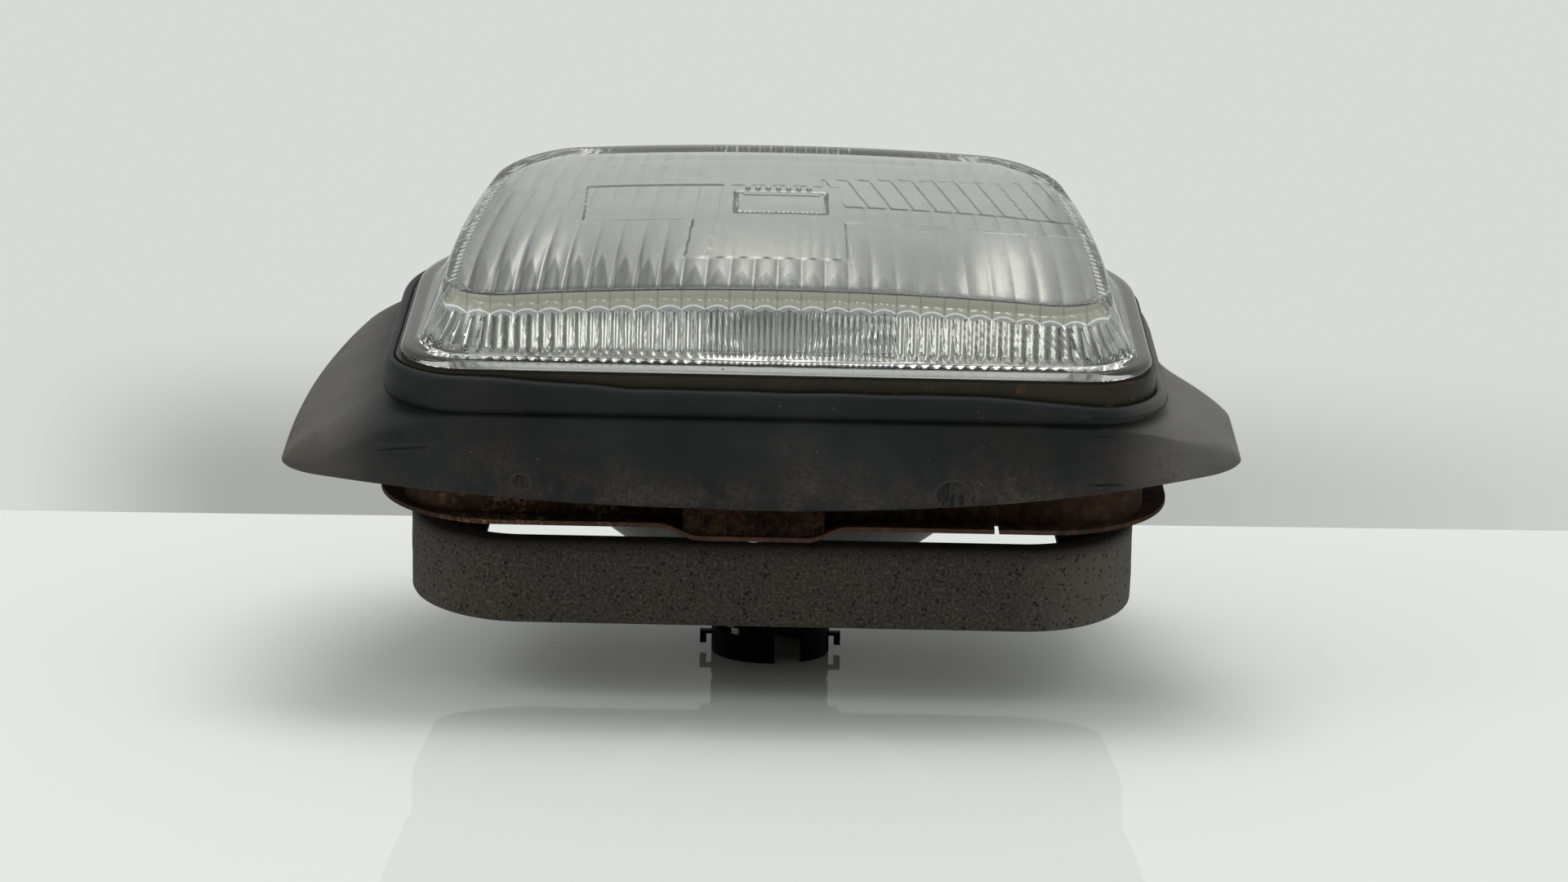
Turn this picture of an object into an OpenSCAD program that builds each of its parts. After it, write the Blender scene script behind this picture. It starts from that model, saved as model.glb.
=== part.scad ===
// Motorcycle headlight with a pressed glass lens, a steel reflector and a bulb collar,
// a rubber surround, a steel frame that tilts for aim, and a sponge cushion band.
// It stands lens up on its bulb collar. +Z is the bulb's axis, +X is to the right,
// and -Y is the side of the lens that is at the top when the lamp is on its motorcycle.
// The origin is the middle of the collar's open rim.

/* [Rake] */
// Lean of the lens, rim, frame and band against the bulb's axis, degrees
rake = 5.7; // [0:0.1:10]

/* [Lens rim] */
// Width of the steel rim under the glass
rim_w = 200; // [190:1:215]
// Depth of the rim, from the lamp's top side to its bottom side
rim_d = 140; // [135:1:150]
// How far the rim's middle sits behind the bulb's axis, in the raked plane
rim_back = 3.1; // [1:0.1:5]
// Corner radius of the rim at the top side
rim_r = 18.8; // [12:0.1:26]
// How far down from the top side the rim's ends run, before its bottom corners start
side_run = 80; // [76:0.5:90]
// Sheet thickness of the rim
rim_t = 1.2; // [0.8:0.1:1.6]
// Height of the rim's wall
rim_h = 9.9; // [8:0.1:12]
// Height of the rim's top above the collar's open end, in the raked frame
rim_top = 98.9; // [96:0.1:104]

/* [Glass lens] */
// Gap in which the sealing bead lies, between rim and glass
seal_h = 0.6; // [0.4:0.1:1.2]
// Width of the sealing bead
seal_w = 4; // [3:0.1:5]
// How far the glass flange stays inside the rim's outline
glass_inset = 1.2; // [0.8:0.1:2]
// Thickness of the glass flange
glass_flange_t = 2.4; // [2:0.1:4]
// Width of the glass flange outside the lens wall
glass_flange_w = 4.8; // [3:0.1:6]
// Height of the glass above its flange at the top side, near the face's edge
face_h_top = 18.7; // [14:0.1:24]
// Height of the glass above its flange at the bottom side
face_h_bottom = 28; // [20:0.1:34]
// How far the face's ends lie inside the foot of the lens wall
face_inset_x = 7; // [3:0.1:10]
// How far the face's top side lies inside the foot of the wall
face_inset_top = 3.9; // [2:0.1:8]
// How far the face's bottom side lies inside the foot of the wall
face_inset_bottom = 6.1; // [2:0.1:10]
// How much lower the face is at its two ends than in the middle
face_crown = 4; // [1:0.1:7]
// Corner radius of the face at the top side
face_r = 17; // [12:0.1:24]
// Corner radius of the face at the bottom side
face_far = 20; // [14:0.5:26]
// How far the face's ends draw in towards the bottom side
face_taper = 13; // [8:0.1:16]
// Distance from the face's top side at which its ends start to draw in
taper_in = 17; // [10:0.5:30]
// Radius-like bevel round the face's edge
face_bevel = 2.2; // [1:0.1:3]
// Thickness of the face
face_t = 4.2; // [3:0.1:6]
// Thickness of the lens wall
lens_wall = 3.2; // [2.4:0.1:4]
// Number of flutes across the inside of the face
flute_n = 28; // [18:1:32]
// Depth of a face flute
flute_d = 1.8; // [0.4:0.1:2]
// Depth of the fine flutes down the lens wall
side_flute_d = 0.7; // [0.2:0.1:1]

/* [Reflector] */
// Sheet thickness of the reflector
refl_t = 0.9; // [0.7:0.1:1.4]
// Focal length of the bowl
refl_focus = 30; // [27:0.5:33]
// Height of the bowl's apex above the collar's open rim
refl_apex = 21; // [18:0.1:24]
// Radius of the bulb hole
refl_hole_r = 13.5; // [13:0.1:14.5]
// Radius of the flat neck that the collar is riveted to
refl_neck_r = 22.5; // [22:0.1:26]
// How far the bowl's end walls lie inside the rim
refl_inset_x = 5; // [4:0.1:8]
// How far the bowl's top wall lies inside the rim
refl_inset_top = 6; // [5:0.1:9]
// How far the bowl's bottom wall lies inside the rim
refl_inset_bottom = 11.5; // [10:0.1:14]
// Corner radius of the bowl's walls at the top side
refl_r = 14; // [8:0.1:20]
// How much smaller than the rim's the bowl's corner radius is at the bottom side
refl_far_less = 5; // [3:0.5:8]

/* [Bulb collar] */
// Outer radius of the collar
collar_r = 16.4; // [16.2:0.1:17]
// Radius of the bore that the retaining ring turns in
collar_bore_r = 15.2; // [14.9:0.1:15.4]
// Radius of the wider mouth, where a boot or cap plugs in
mouth_r = 15.6; // [15.5:0.1:15.8]
// Depth of the wider mouth
mouth_h = 6.8; // [5:0.1:7]
// Radius of the lip inside the collar
collar_lip_r = 12.6; // [12:0.1:13.4]
// Sheet thickness of the collar's top flange
collar_t = 1.2; // [0.8:0.1:1.6]
// Radius of the collar's top flange
collar_flange_r = 22; // [21:0.1:23]
// Angle from the front to the middle of the first window in the rim
window_at = 18.5; // [10:0.5:30]
// Width of a window, degrees
window_angle = 28; // [20:1:30]
// Height of a window
window_h = 8.4; // [6:0.1:9]
// Lowest height of the bayonet slot
slot_low = 7.1; // [7:0.1:8]
// Height of the bayonet slot
slot_h = 2.4; // [2.2:0.1:3]
// Angle from the front to the locked end of the slot, negative to the left
slot_from = -30; // [-40:1:-20]
// Angle from the front to the entry of the slot
slot_entry = -100; // [-105:1:-96]
// Width of the slot's entry, degrees
entry_angle = 9; // [9:1:10]
// Reach of the two ears beyond the collar
ear_reach = 3.2; // [2:0.1:4]
// Width of an ear
ear_w = 2.4; // [1.6:0.1:3]

/* [Collar rivets] */
// Number of rivets in the collar's flange
rivet_n = 3; // [3:1:5]
// Radius of the circle of rivets
rivet_pcr = 19.7; // [19.6:0.1:19.8]
// Radius of a rivet
rivet_r = 1.4; // [1:0.1:1.6]
// Radius of a rivet's head
rivet_head_r = 2.4; // [2:0.1:2.6]
// Height of a rivet's head
rivet_head_h = 0.8; // [0.5:0.1:1]
// Thickness of the gasket between collar and reflector
gasket_t = 0.4; // [0.3:0.1:0.6]

/* [Bulb] */
// Radius of the bulb's cap
cap_r = 10; // [9:0.1:10.5]
// Lowest height of the bulb's cap
cap_low = 9; // [8.8:0.1:10]
// Radius of the bulb's flange
bulb_flange_r = 14.6; // [13.6:0.1:14.8]
// Thickness of the bulb's flange
bulb_flange_t = 1.2; // [0.8:0.1:1.6]
// Height of the cap's neck above the seat
cap_neck_h = 4; // [3:0.1:6]
// Radius of the glass tube
tube_r = 8.4; // [7:0.1:9]
// Length of the glass tube above its foot, without its dome
tube_h = 36; // [32:0.5:40]
// Wall of the glass tube
tube_wall = 1; // [0.8:0.1:1.4]
// Radius of a filament
filament_r = 0.8; // [0.5:0.1:1]
// Length of a filament
filament_l = 5; // [4:0.1:6]
// Distance between the two filaments
filament_gap = 2.5; // [2:0.1:4]

/* [Retaining ring] */
// Gap all round the ring where it turns in the collar
ring_clear = 0.07; // [0.05:0.01:0.1]
// Radius of the hole in the ring
ring_hole_r = 11.2; // [10.8:0.1:11.5]
// Lowest height of the ring's disc
ring_low = 8.6; // [8.4:0.1:8.8]
// Thickness of the ring's disc
ring_t = 1; // [0.8:0.1:1.2]
// Height of the ring's wall
ring_h = 3; // [2:0.1:4]
// Width of a lug, degrees
lug_angle = 8; // [6:0.5:8]
// Wire radius of the spring behind the bulb
spring_wire_r = 0.5; // [0.4:0.05:0.6]
// Radius of the spring's coils
spring_r = 12.7; // [12.4:0.1:12.9]
// Number of coils in the spring
spring_n = 4; // [3:1:4]
// Gap at each end of the spring
spring_clear = 0.12; // [0.1:0.01:0.3]

/* [Steel frame] */
// Gap all round between the rim and the frame's wall
frame_gap = 0.9; // [0.7:0.1:1.2]
// Sheet thickness of the frame
frame_t = 1.2; // [1:0.1:1.4]
// Height of the flange's underside, in the raked frame
flange_low = 59.4; // [57:0.1:62]
// Width of the flange outside the wall
flange_w = 7; // [5:0.1:9]
// Corner radius of the flange
flange_r = 34; // [28:0.5:36]
// How far the frame's wall reaches up into the rim
frame_lap = 1; // [0.5:0.1:2]
// Middle of the pressed-out box in the top wall
bulge_x = -5; // [-10:1:10]
// Width of the box
bulge_w = 37; // [30:1:44]
// How far the box stands out of the wall
bulge_out = 6; // [5.6:0.1:6.4]
// How far the flange dips under the box
bulge_dip = 3.4; // [2:0.1:4]
// Half width of the dip's level middle
dip_half = 14; // [11:0.5:17]
// Width of each slope at the dip's ends
dip_slope = 11; // [8:0.5:13]
// Height of the box above the dipped flange
bulge_h = 22.5; // [22:0.1:26]
// Place of the slit in the flange
slit_x = 58.5; // [50:0.5:66]
// Width of the slit
slit_w = 1.2; // [1:0.1:2]

/* [Aim pivots] */
// Height of the pivots, in the raked frame
pivot_z = 76; // [74:0.1:78]
// Radius of a pivot pin
pivot_r = 3; // [2.5:0.1:3.5]
// Gap round a pivot pin in the frame
pivot_clear = 0.05; // [0.02:0.01:0.1]
// Radius of a pivot pin's outer head
pivot_head_r = 5.5; // [5:0.1:6.5]
// Height of a pivot pin's head
pivot_head_h = 2; // [1:0.1:2.4]
// Thickness of the washer under the head
washer_t = 0.8; // [0.5:0.1:1]
// Sheet thickness of the ears that hold the pins
pivot_ear_t = 1.3; // [1:0.1:1.3]
// Width of a pivot ear
pivot_ear_w = 22; // [16:1:30]

/* [Aim screw] */
// Distance of the screw outside the frame's wall
screw_out = 1.2; // [1:0.1:1.6]
// Radius of the screw
screw_r = 2; // [1.8:0.1:2.2]
// Length of the screw
screw_l = 21; // [20:0.1:23]
// Gap round the screw in the frame's hole
screw_clear = 0.06; // [0.04:0.01:0.1]
// Radius of the screw's shoulder
shoulder_r = 3.2; // [2.8:0.1:3.3]
// Height of the shoulder
shoulder_h = 2; // [1.5:0.1:2.5]
// Thickness of the clip that keeps the screw in the frame
clip_t = 0.8; // [0.6:0.1:1]
// Sheet thickness of the lug that carries the nut
lug_t = 1.6; // [1.2:0.1:2]
// How far the lug lies below the pivots
lug_drop = 2.5; // [1:0.1:4]
// Width of the lug
lug_w = 14; // [10:1:18]
// Radius of the nut's body
nut_r = 2.9; // [2.7:0.1:3]
// Radius of the nut's collars
nut_collar_r = 3.2; // [3.1:0.1:3.3]
// Thickness of each of the nut's collars
nut_collar_t = 1; // [0.8:0.1:1.2]
// Gap round the screw in the nut, which lets the nut tilt
nut_clear = 0.3; // [0.25:0.01:0.35]

/* [Cushion band] */
// How far the band's outside lies inside the frame's wall
band_inset = 0.9; // [0.5:0.1:1.5]
// Corner radius of the band
band_r = 31; // [26:0.5:33]
// Thickness of the band
band_t = 6; // [5:0.1:6.5]
// Height of the band
band_h = 23.2; // [20:0.1:25]
// Lowest height of the band, in the raked frame
band_low = 29.3; // [27:0.1:31]

/* [Side brackets] */
// Sheet thickness of a bracket
bracket_t = 1.6; // [1.2:0.1:2]
// Length of a bracket along the lamp's side
bracket_l = 56; // [48:1:64]
// Height of the bracket's bolting foot above the collar's rim
foot_z = 33; // [32:0.1:36]
// Reach of the bolting foot, from the bracket towards the bulb
foot_w = 12; // [11:0.5:16]
// Radius of the bolt holes
bolt_hole_r = 2.75; // [2.2:0.05:2.9]
// Distance between the two bolt holes of a bracket
bolt_spacing = 36; // [30:1:40]
// Gap between a bracket and the band that is glued to it
glue_gap = 0.05; // [0.02:0.01:0.1]

/* [Rubber surround] */
// Thickness of the bead outside the rim
bead_t = 3.2; // [2:0.1:4]
// How far the bead's top lies below the rim's top
bead_drop = 3.5; // [3:0.1:5]
// How far the bead rides up at the left end
bead_rise = 3; // [0:0.1:3]
// Height of the hook under the rim
hook_h = 3; // [2:0.1:4]
// Gap between rubber and steel
rubber_clear = 0.3; // [0.25:0.01:0.4]
// Thickness of the skirt
skirt_t = 1.6; // [1.2:0.1:2]
// Half width of the skirt's lower edge at its left end
skirt_x = 128.5; // [122:0.5:134]
// Half width of the skirt's lower edge at its right end
skirt_x_right = 122.5; // [116:0.5:128]
// How far the skirt stands out at the middle of the top side
skirt_out = 12; // [9:0.1:14]
// Height of the skirt's lower edge at the middle of the top side, in the raked frame
skirt_low = 67.2; // [66:0.1:70]
// How much higher the edge is at the left corner
skirt_left_lift = 7; // [4:0.1:10]
// How much higher the edge is at the right corner
skirt_right_lift = 10; // [6:0.1:13]
// How far the skirt bows up between the bead and its edge
skirt_bow = 1.8; // [0:0.1:3]

/* [Hidden] */
$fn = 96;
eps = 0.01;

// Heights of the joint between bowl and collar
neck_rise = 1.6;
neck_low = refl_apex + neck_rise - refl_t;
collar_top = neck_low - gasket_t;
collar_seat = collar_top - collar_t;

// The rim's outline in the raked plane: half width, top side, bottom side
rim_x = rim_w / 2;
rim_y0 = rim_back - rim_d / 2;
rim_y1 = rim_back + rim_d / 2;
rim_far = rim_d - side_run;
refl_far = rim_far - refl_far_less;
rim_low = rim_top - rim_h;
rim_ledge_w = refl_inset_x - 0.3;
refl_top = rim_top - rim_t;

// The glass, in the raked frame
glass_low = rim_top + seal_h;
glass_x = rim_x - glass_inset;
glass_y0 = rim_y0 + glass_inset;
glass_y1 = rim_y1 - glass_inset;
wall_x = glass_x - glass_flange_w;
wall_y0 = glass_y0 + glass_flange_w;
wall_y1 = glass_y1 - glass_flange_w;
face_x = wall_x - face_inset_x;
face_y0 = wall_y0 + face_inset_top;
face_y1 = wall_y1 - face_inset_bottom;
taper_from = face_y0 + taper_in;
flange_top_z = glass_low + glass_flange_t;

// The frame, in the raked frame
frame_in = rim_t + frame_gap;
frame_x = rim_x - frame_in;
frame_y0 = rim_y0 + frame_in;
frame_y1 = rim_y1 - frame_in;
frame_r = rim_r - frame_in;
frame_far = rim_far - frame_in;
frame_top = rim_low + frame_lap;
bulge_low = flange_low - bulge_dip;
pivot_y = (frame_y0 + frame_y1) / 2;
screw_y = frame_y0 - screw_out;
screw_low = bulge_low - clip_t - 0.7;
lug_z = pivot_z - lug_t - lug_drop;

// The band and the brackets
band_x = frame_x - band_inset;
bracket_x = band_x - band_t - glue_gap;
foot_x = bracket_x - foot_w;
bolt_x = foot_x + foot_w / 2 - 0.9;
bracket_y = pivot_y * cos(rake) - foot_z * sin(rake);

// The collar's slot and the ring's lug
ring_r = collar_bore_r - ring_clear;
lug_play = 2;
lug_from = slot_from - lug_play - lug_angle;
slot_end = slot_entry - entry_angle / 2;

steel_rust = [0.36, 0.24, 0.17];
rim_olive = [0.45, 0.42, 0.30];
zinc = [0.66, 0.66, 0.64];
black_steel = [0.10, 0.10, 0.11];
rubber = [0.22, 0.23, 0.24];
sponge = [0.20, 0.18, 0.17];

// Everything that leans with the lens
module raked() {
    rotate([rake, 0, 0])
        children();
}

// What a round corner leaves out of a square one at the origin, whose inside is towards
// +X and +Y
module corner_left(r) {
    difference() {
        translate([-1, -1])
            square([r + 1, r + 1]);
        translate([r, r])
            circle(r = r);
    }
}

// A flat rectangle with round corners, as wide as 2 hx, from y0 to y1. Its two corners on
// the lamp's bottom side may have a radius of their own.
module panel(hx, y0, y1, r, far = 0) {
    rf = far > 0 ? far : r;
    difference() {
        translate([-hx, y0])
            square([2 * hx, y1 - y0]);
        translate([-hx, y0])
            corner_left(r);
        translate([hx, y0])
            rotate(90)
                corner_left(r);
        translate([hx, y1])
            rotate(180)
                corner_left(rf);
        translate([-hx, y1])
            rotate(270)
                corner_left(rf);
    }
}

// A strip of even width just inside such a rectangle
module strip(hx, y0, y1, r, w, far = 0) {
    difference() {
        panel(hx, y0, y1, r, far);
        panel(hx - w, y0 + w, y1 - w, max(r - w, 1), max(far - w, 0));
    }
}

// A sector of a ring, from one angle to another, counted from the front towards the right
module sector(r0, r1, from, to, z0, z1) {
    translate([0, 0, z0])
        rotate([0, 0, from - 90])
            rotate_extrude(angle = to - from)
                translate([r0, 0])
                    square([r1 - r0, z1 - z0]);
}

module disc(r0, r1, z0, z1) {
    translate([0, 0, z0])
        difference() {
            cylinder(r = r1, h = z1 - z0);
            translate([0, 0, -1])
                cylinder(r = r0, h = z1 - z0 + 2);
        }
}

// The lens as one closed mesh. Its face is a grid of columns across the lens and rows
// down it; the face's border points are carried outwards to make the wall and flange.
flute_step = 2 * face_x / flute_n;
column_step = flute_step / 3;
columns = concat([-face_x, -face_x + 0.3, -face_x + 1.1],
    [for (i = [1 : 3 * flute_n - 1]) -face_x + i * column_step],
    [face_x - 1.1, face_x - 0.3, face_x]);
col_n = len(columns) - 1;
row_n = 7;
border_n = 2 * (col_n + row_n);
grid_n = (col_n + 1) * (row_n + 1);

// How far an outline's side lies inside its straight run, at a place across it
function arc_in(x, hx, r) =
    let (over = max(0, abs(x) - hx + r)) r - sqrt(max(0, r * r - over * over));
// A place of the grid carried to an outline of half width hx, from y0 to y1
function carried(i, j, hx, y0, y1, r, far) =
    let (x = columns[i] * hx / face_x, a = y0 + arc_in(x, hx, r), b = y1 - arc_in(x, hx, far))
    [x, a + (b - a) * j / row_n];
// The face narrows towards the bottom side
function tapered(p) =
    let (t = max(0, (p[1] - taper_from) / (face_y1 - taper_from)))
    [p[0] * (1 - face_taper / face_x * t * t), p[1]];
function face_ring(i, j, out) = tapered(carried(i, j, face_x + out, face_y0 - out,
    face_y1 + out, face_r + out / 2, face_far + out / 2));
function grid_xy(i, j) = face_ring(i, j, 0);
function face_z(p) = flange_top_z + face_h_top
    + (face_h_bottom - face_h_top) * (p[1] - face_y0) / (face_y1 - face_y0)
    - face_crown * pow(p[0] / face_x, 2);
function flute(x) = flute_d * abs(sin(180 * (x + face_x) / flute_step));
function border_ij(k) = k < col_n ? [k, 0]
    : k < col_n + row_n ? [col_n, k - col_n]
    : k < 2 * col_n + row_n ? [2 * col_n + row_n - k, row_n]
    : [0, border_n - k];
function on_long_side(k) = k > 3 && k < col_n - 3
    || k > col_n + row_n + 3 && k < 2 * col_n + row_n - 3;
function border_xy(k) = grid_xy(border_ij(k)[0], border_ij(k)[1]);
function flute_out(k) = on_long_side(k) && k % 2 == 0 ? side_flute_d : 0;
// A border point on an outline that lies a distance inside the rim's, moved in by a flute
function lamp_ring(k, inset, f) =
    let (b = border_ij(k))
    carried(b[0], b[1], rim_x - inset, rim_y0 + inset + f, rim_y1 - inset - f,
        rim_r - inset + (inset - glass_inset) / 2, rim_far - inset);
// Rings from the flange's underside outside, up to the bevel, then the inner foot
function lens_ring(n, k) =
    let (p = border_xy(k), b = border_ij(k), f = flute_out(k),
        wall_in = glass_inset + glass_flange_w)
    n == 0 ? concat(lamp_ring(k, glass_inset, 0), glass_low)
    : n == 1 ? concat(lamp_ring(k, glass_inset, 0), flange_top_z)
    : n == 2 ? concat(lamp_ring(k, wall_in, f), flange_top_z)
    : n == 3 ? concat(face_ring(b[0], b[1], face_bevel * 0.5 - f / 2), face_z(p) - face_bevel)
    : concat(lamp_ring(k, wall_in + lens_wall, 0), glass_low);

lens_points = concat(
    [for (j = [0 : row_n]) for (i = [0 : col_n])
        let (p = grid_xy(i, j)) [p[0], p[1], face_z(p)]],
    [for (j = [0 : row_n]) for (i = [0 : col_n])
        let (p = grid_xy(i, j), q = face_ring(i, j, -lens_wall))
        [q[0], q[1], face_z(p) - face_t + (j == 0 || j == row_n ? 0 : flute(columns[i]))]],
    [for (n = [0 : 4]) for (k = [0 : border_n - 1]) lens_ring(n, k)]);

function grid_at(i, j) = j * (col_n + 1) + i;
function border_at(k) = let (b = border_ij(k % border_n)) grid_at(b[0], b[1]);
function ring_at(n, k) = 2 * grid_n + n * border_n + k % border_n;
// Two triangles for a quad whose corners run clockwise seen from outside
function quad(a, b, c, d) = [[a, b, c], [a, c, d]];
function flat_once(list) = [for (part = list) for (item = part) item];

lens_faces = flat_once(concat(
    [for (j = [0 : row_n - 1]) for (i = [0 : col_n - 1])
        quad(grid_at(i, j), grid_at(i, j + 1), grid_at(i + 1, j + 1), grid_at(i + 1, j))],
    [for (j = [0 : row_n - 1]) for (i = [0 : col_n - 1])
        quad(grid_n + grid_at(i, j), grid_n + grid_at(i + 1, j),
            grid_n + grid_at(i + 1, j + 1), grid_n + grid_at(i, j + 1))],
    [for (n = [0 : 2]) for (k = [0 : border_n - 1])
        quad(ring_at(n, k), ring_at(n + 1, k), ring_at(n + 1, k + 1), ring_at(n, k + 1))],
    [for (k = [0 : border_n - 1])
        quad(ring_at(3, k), border_at(k), border_at(k + 1), ring_at(3, k + 1))],
    [for (k = [0 : border_n - 1])
        quad(grid_n + border_at(k), ring_at(4, k), ring_at(4, k + 1),
            grid_n + border_at(k + 1))],
    [for (k = [0 : border_n - 1])
        quad(ring_at(4, k), ring_at(0, k), ring_at(0, k + 1), ring_at(4, k + 1))]));

module lens_glass() {
    color([0.86, 0.90, 0.90, 0.6])
        raked()
            polyhedron(lens_points, lens_faces, convexity = 6);
}

module lens_sealant() {
    color([0.12, 0.11, 0.09])
        raked()
            translate([0, 0, rim_top])
                linear_extrude(seal_h)
                    strip(glass_x - 0.2, glass_y0 + 0.2, glass_y1 - 0.2, rim_r - glass_inset, seal_w,
                        rim_far - glass_inset);
}

// An upright wall round the lamp, with a ledge turned inwards under the glass
module lens_rim() {
    color(rim_olive)
        raked() {
            translate([0, 0, rim_low])
                linear_extrude(rim_h)
                    strip(rim_x, rim_y0, rim_y1, rim_r, rim_t, rim_far);
            translate([0, 0, rim_top - rim_t])
                linear_extrude(rim_t)
                    strip(rim_x, rim_y0, rim_y1, rim_r, rim_ledge_w, rim_far);
        }
}

// Half the section of the bowl, filled up to a height: neck, step and parabola
bowl_steps = 20;
bowl_reach = rim_x + 20;
function bowl_z(r) = refl_apex + r * r / (4 * refl_focus);
function bowl_profile(drop) = concat(
    [[0, refl_apex + neck_rise - drop], [refl_neck_r + drop, refl_apex + neck_rise - drop]],
    [for (i = [0 : bowl_steps])
        let (r = refl_neck_r + drop + 1 + i * (bowl_reach - refl_neck_r) / bowl_steps)
        [r, bowl_z(r - drop) - drop]],
    [[0, bowl_z(bowl_reach)]]);

module bowl_solid(drop) {
    intersection() {
        rotate_extrude()
            polygon(bowl_profile(drop));
        raked()
            translate([0, 0, -20])
                linear_extrude(refl_top + 20 + (drop > 0 ? 0 : 1))
                    panel(rim_x - refl_inset_x - refl_t + drop,
                        rim_y0 + refl_inset_top + refl_t - drop,
                        rim_y1 - refl_inset_bottom - refl_t + drop, refl_r - refl_t + drop,
                        refl_far - refl_t + drop);
    }
}

// A pressed bowl cut off by four flat walls, with a flange under the rim's ledge
module reflector() {
    color([0.78, 0.79, 0.80])
        difference() {
            union() {
                bowl_solid(refl_t);
                raked()
                    translate([0, 0, refl_top - refl_t])
                        linear_extrude(refl_t)
                            panel(rim_x - rim_t - 0.1, rim_y0 + rim_t + 0.1,
                                rim_y1 - rim_t - 0.1, rim_r - rim_t, rim_far - rim_t);
            }
            bowl_solid(0);
            cylinder(r = refl_hole_r, h = refl_apex + 10);
            rivet_places()
                cylinder(r = rivet_r + 0.05, h = refl_apex + 10);
        }
}

module rivet_places() {
    for (i = [0 : rivet_n - 1])
        rotate([0, 0, 30 + i * 360 / rivet_n])
            translate([rivet_pcr, 0, 0])
                children();
}

// Half the collar's section: tube with a wider mouth, lip inside, flange outside
collar_profile = [[mouth_r, 0], [collar_r, 0], [collar_r, collar_seat],
    [collar_flange_r, collar_seat], [collar_flange_r, collar_top], [collar_lip_r, collar_top],
    [collar_lip_r, collar_seat], [collar_bore_r, collar_seat], [collar_bore_r, mouth_h],
    [mouth_r, mouth_h]];

// The tube with its windows, bayonet slots and ears, and the flange riveted to the bowl
module bulb_collar() {
    color(black_steel)
        difference() {
            union() {
                rotate_extrude()
                    polygon(collar_profile);
                for (side = [-1, 1])
                    collar_ear(side);
            }
            for (turn = [0, 180]) {
                sector(mouth_r - 2, collar_r + 1, turn + window_at - window_angle / 2,
                    turn + window_at + window_angle / 2, -1, window_h);
                sector(collar_bore_r - 1, collar_r + 1, turn + slot_end, turn + slot_from,
                    slot_low, slot_low + slot_h);
                sector(collar_bore_r - 1.5, collar_r + 1.5, turn + slot_end,
                    turn + slot_end + entry_angle, -1, slot_low + slot_h / 2);
            }
            rivet_places()
                cylinder(r = rivet_r + 0.05, h = refl_apex + 10);
        }
}

// A small arm out of the collar's side with its tip turned down
module collar_ear(side) {
    ear_z = 4.4;
    tip = collar_r + ear_reach;
    translate([side > 0 ? collar_r - 0.4 : -tip, -ear_w / 2, ear_z])
        cube([ear_reach + 0.4, ear_w, 1]);
    translate([side > 0 ? tip - 1.8 : -tip, -ear_w / 2, ear_z - 2.6])
        cube([1.8, ear_w, 2.6 + eps]);
}

module collar_gasket() {
    color([0.30, 0.26, 0.20])
        difference() {
            disc(collar_r + 0.6, collar_flange_r, collar_top, neck_low);
            rivet_places()
                cylinder(r = rivet_r + 0.1, h = refl_apex + 10);
        }
}

module collar_rivets() {
    color(zinc)
        rivet_places() {
            translate([0, 0, collar_seat - rivet_head_h])
                cylinder(r = rivet_head_r, h = rivet_head_h);
            translate([0, 0, collar_seat - eps])
                cylinder(r = rivet_r, h = neck_low + refl_t - collar_seat + 2 * eps);
            translate([0, 0, neck_low + refl_t])
                cylinder(r = rivet_head_r, h = rivet_head_h);
        }
}

flange_under = collar_seat - bulb_flange_t;
neck_top = collar_seat + cap_neck_h;

module bulb_cap() {
    color(zinc)
        rotate_extrude()
            polygon([[0, cap_low], [cap_r - 0.6, cap_low], [cap_r, cap_low + 0.6],
                [cap_r, flange_under], [bulb_flange_r, flange_under],
                [bulb_flange_r, collar_seat], [cap_r - 0.4, collar_seat],
                [cap_r - 0.4, neck_top], [0, neck_top]]);
}

module bulb_insulator() {
    insulator_h = 0.8;
    color([0.05, 0.05, 0.06])
        translate([0, 0, cap_low - insulator_h])
            cylinder(r = cap_r - 1, h = insulator_h);
}

module bulb_contacts() {
    contact_h = 0.8;
    contact_r = 1.4;
    contact_at = 4.6;
    color([0.80, 0.66, 0.35])
        for (i = [0 : 2])
            rotate([0, 0, i * 120])
                translate([contact_at, 0, cap_low - 0.8 - contact_h])
                    cylinder(r = contact_r, h = contact_h);
}

tube_top = neck_top + tube_h;

module bulb_glass() {
    color([0.92, 0.95, 0.96, 0.5])
        difference() {
            union() {
                translate([0, 0, neck_top])
                    cylinder(r = tube_r, h = tube_h);
                translate([0, 0, tube_top])
                    sphere(r = tube_r);
            }
            translate([0, 0, neck_top + 1])
                cylinder(r = tube_r - tube_wall, h = tube_h - 1);
            translate([0, 0, tube_top])
                sphere(r = tube_r - tube_wall);
        }
}

focus_z = refl_apex + refl_focus;
main_low = focus_z - filament_l / 2;
dip_low = focus_z + filament_l / 2 + filament_gap;
support_r = 0.5;
support_x = filament_r + support_r;

module bulb_supports() {
    color([0.55, 0.55, 0.54]) {
        translate([support_x, 0, neck_top + 1])
            cylinder(r = support_r, h = dip_low + filament_l - neck_top - 1);
        translate([-support_x, 0, neck_top + 1])
            cylinder(r = support_r, h = main_low + filament_l - neck_top - 1);
        translate([0, support_x + 3, neck_top + 1])
            cylinder(r = support_r, h = dip_low - neck_top - 1);
    }
}

module filament(low) {
    color([0.45, 0.45, 0.47])
        translate([0, 0, low])
            cylinder(r = filament_r, h = filament_l, $fn = 24);
}

module main_filament() {
    filament(main_low);
}

module dip_filament() {
    filament(dip_low);
}

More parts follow.
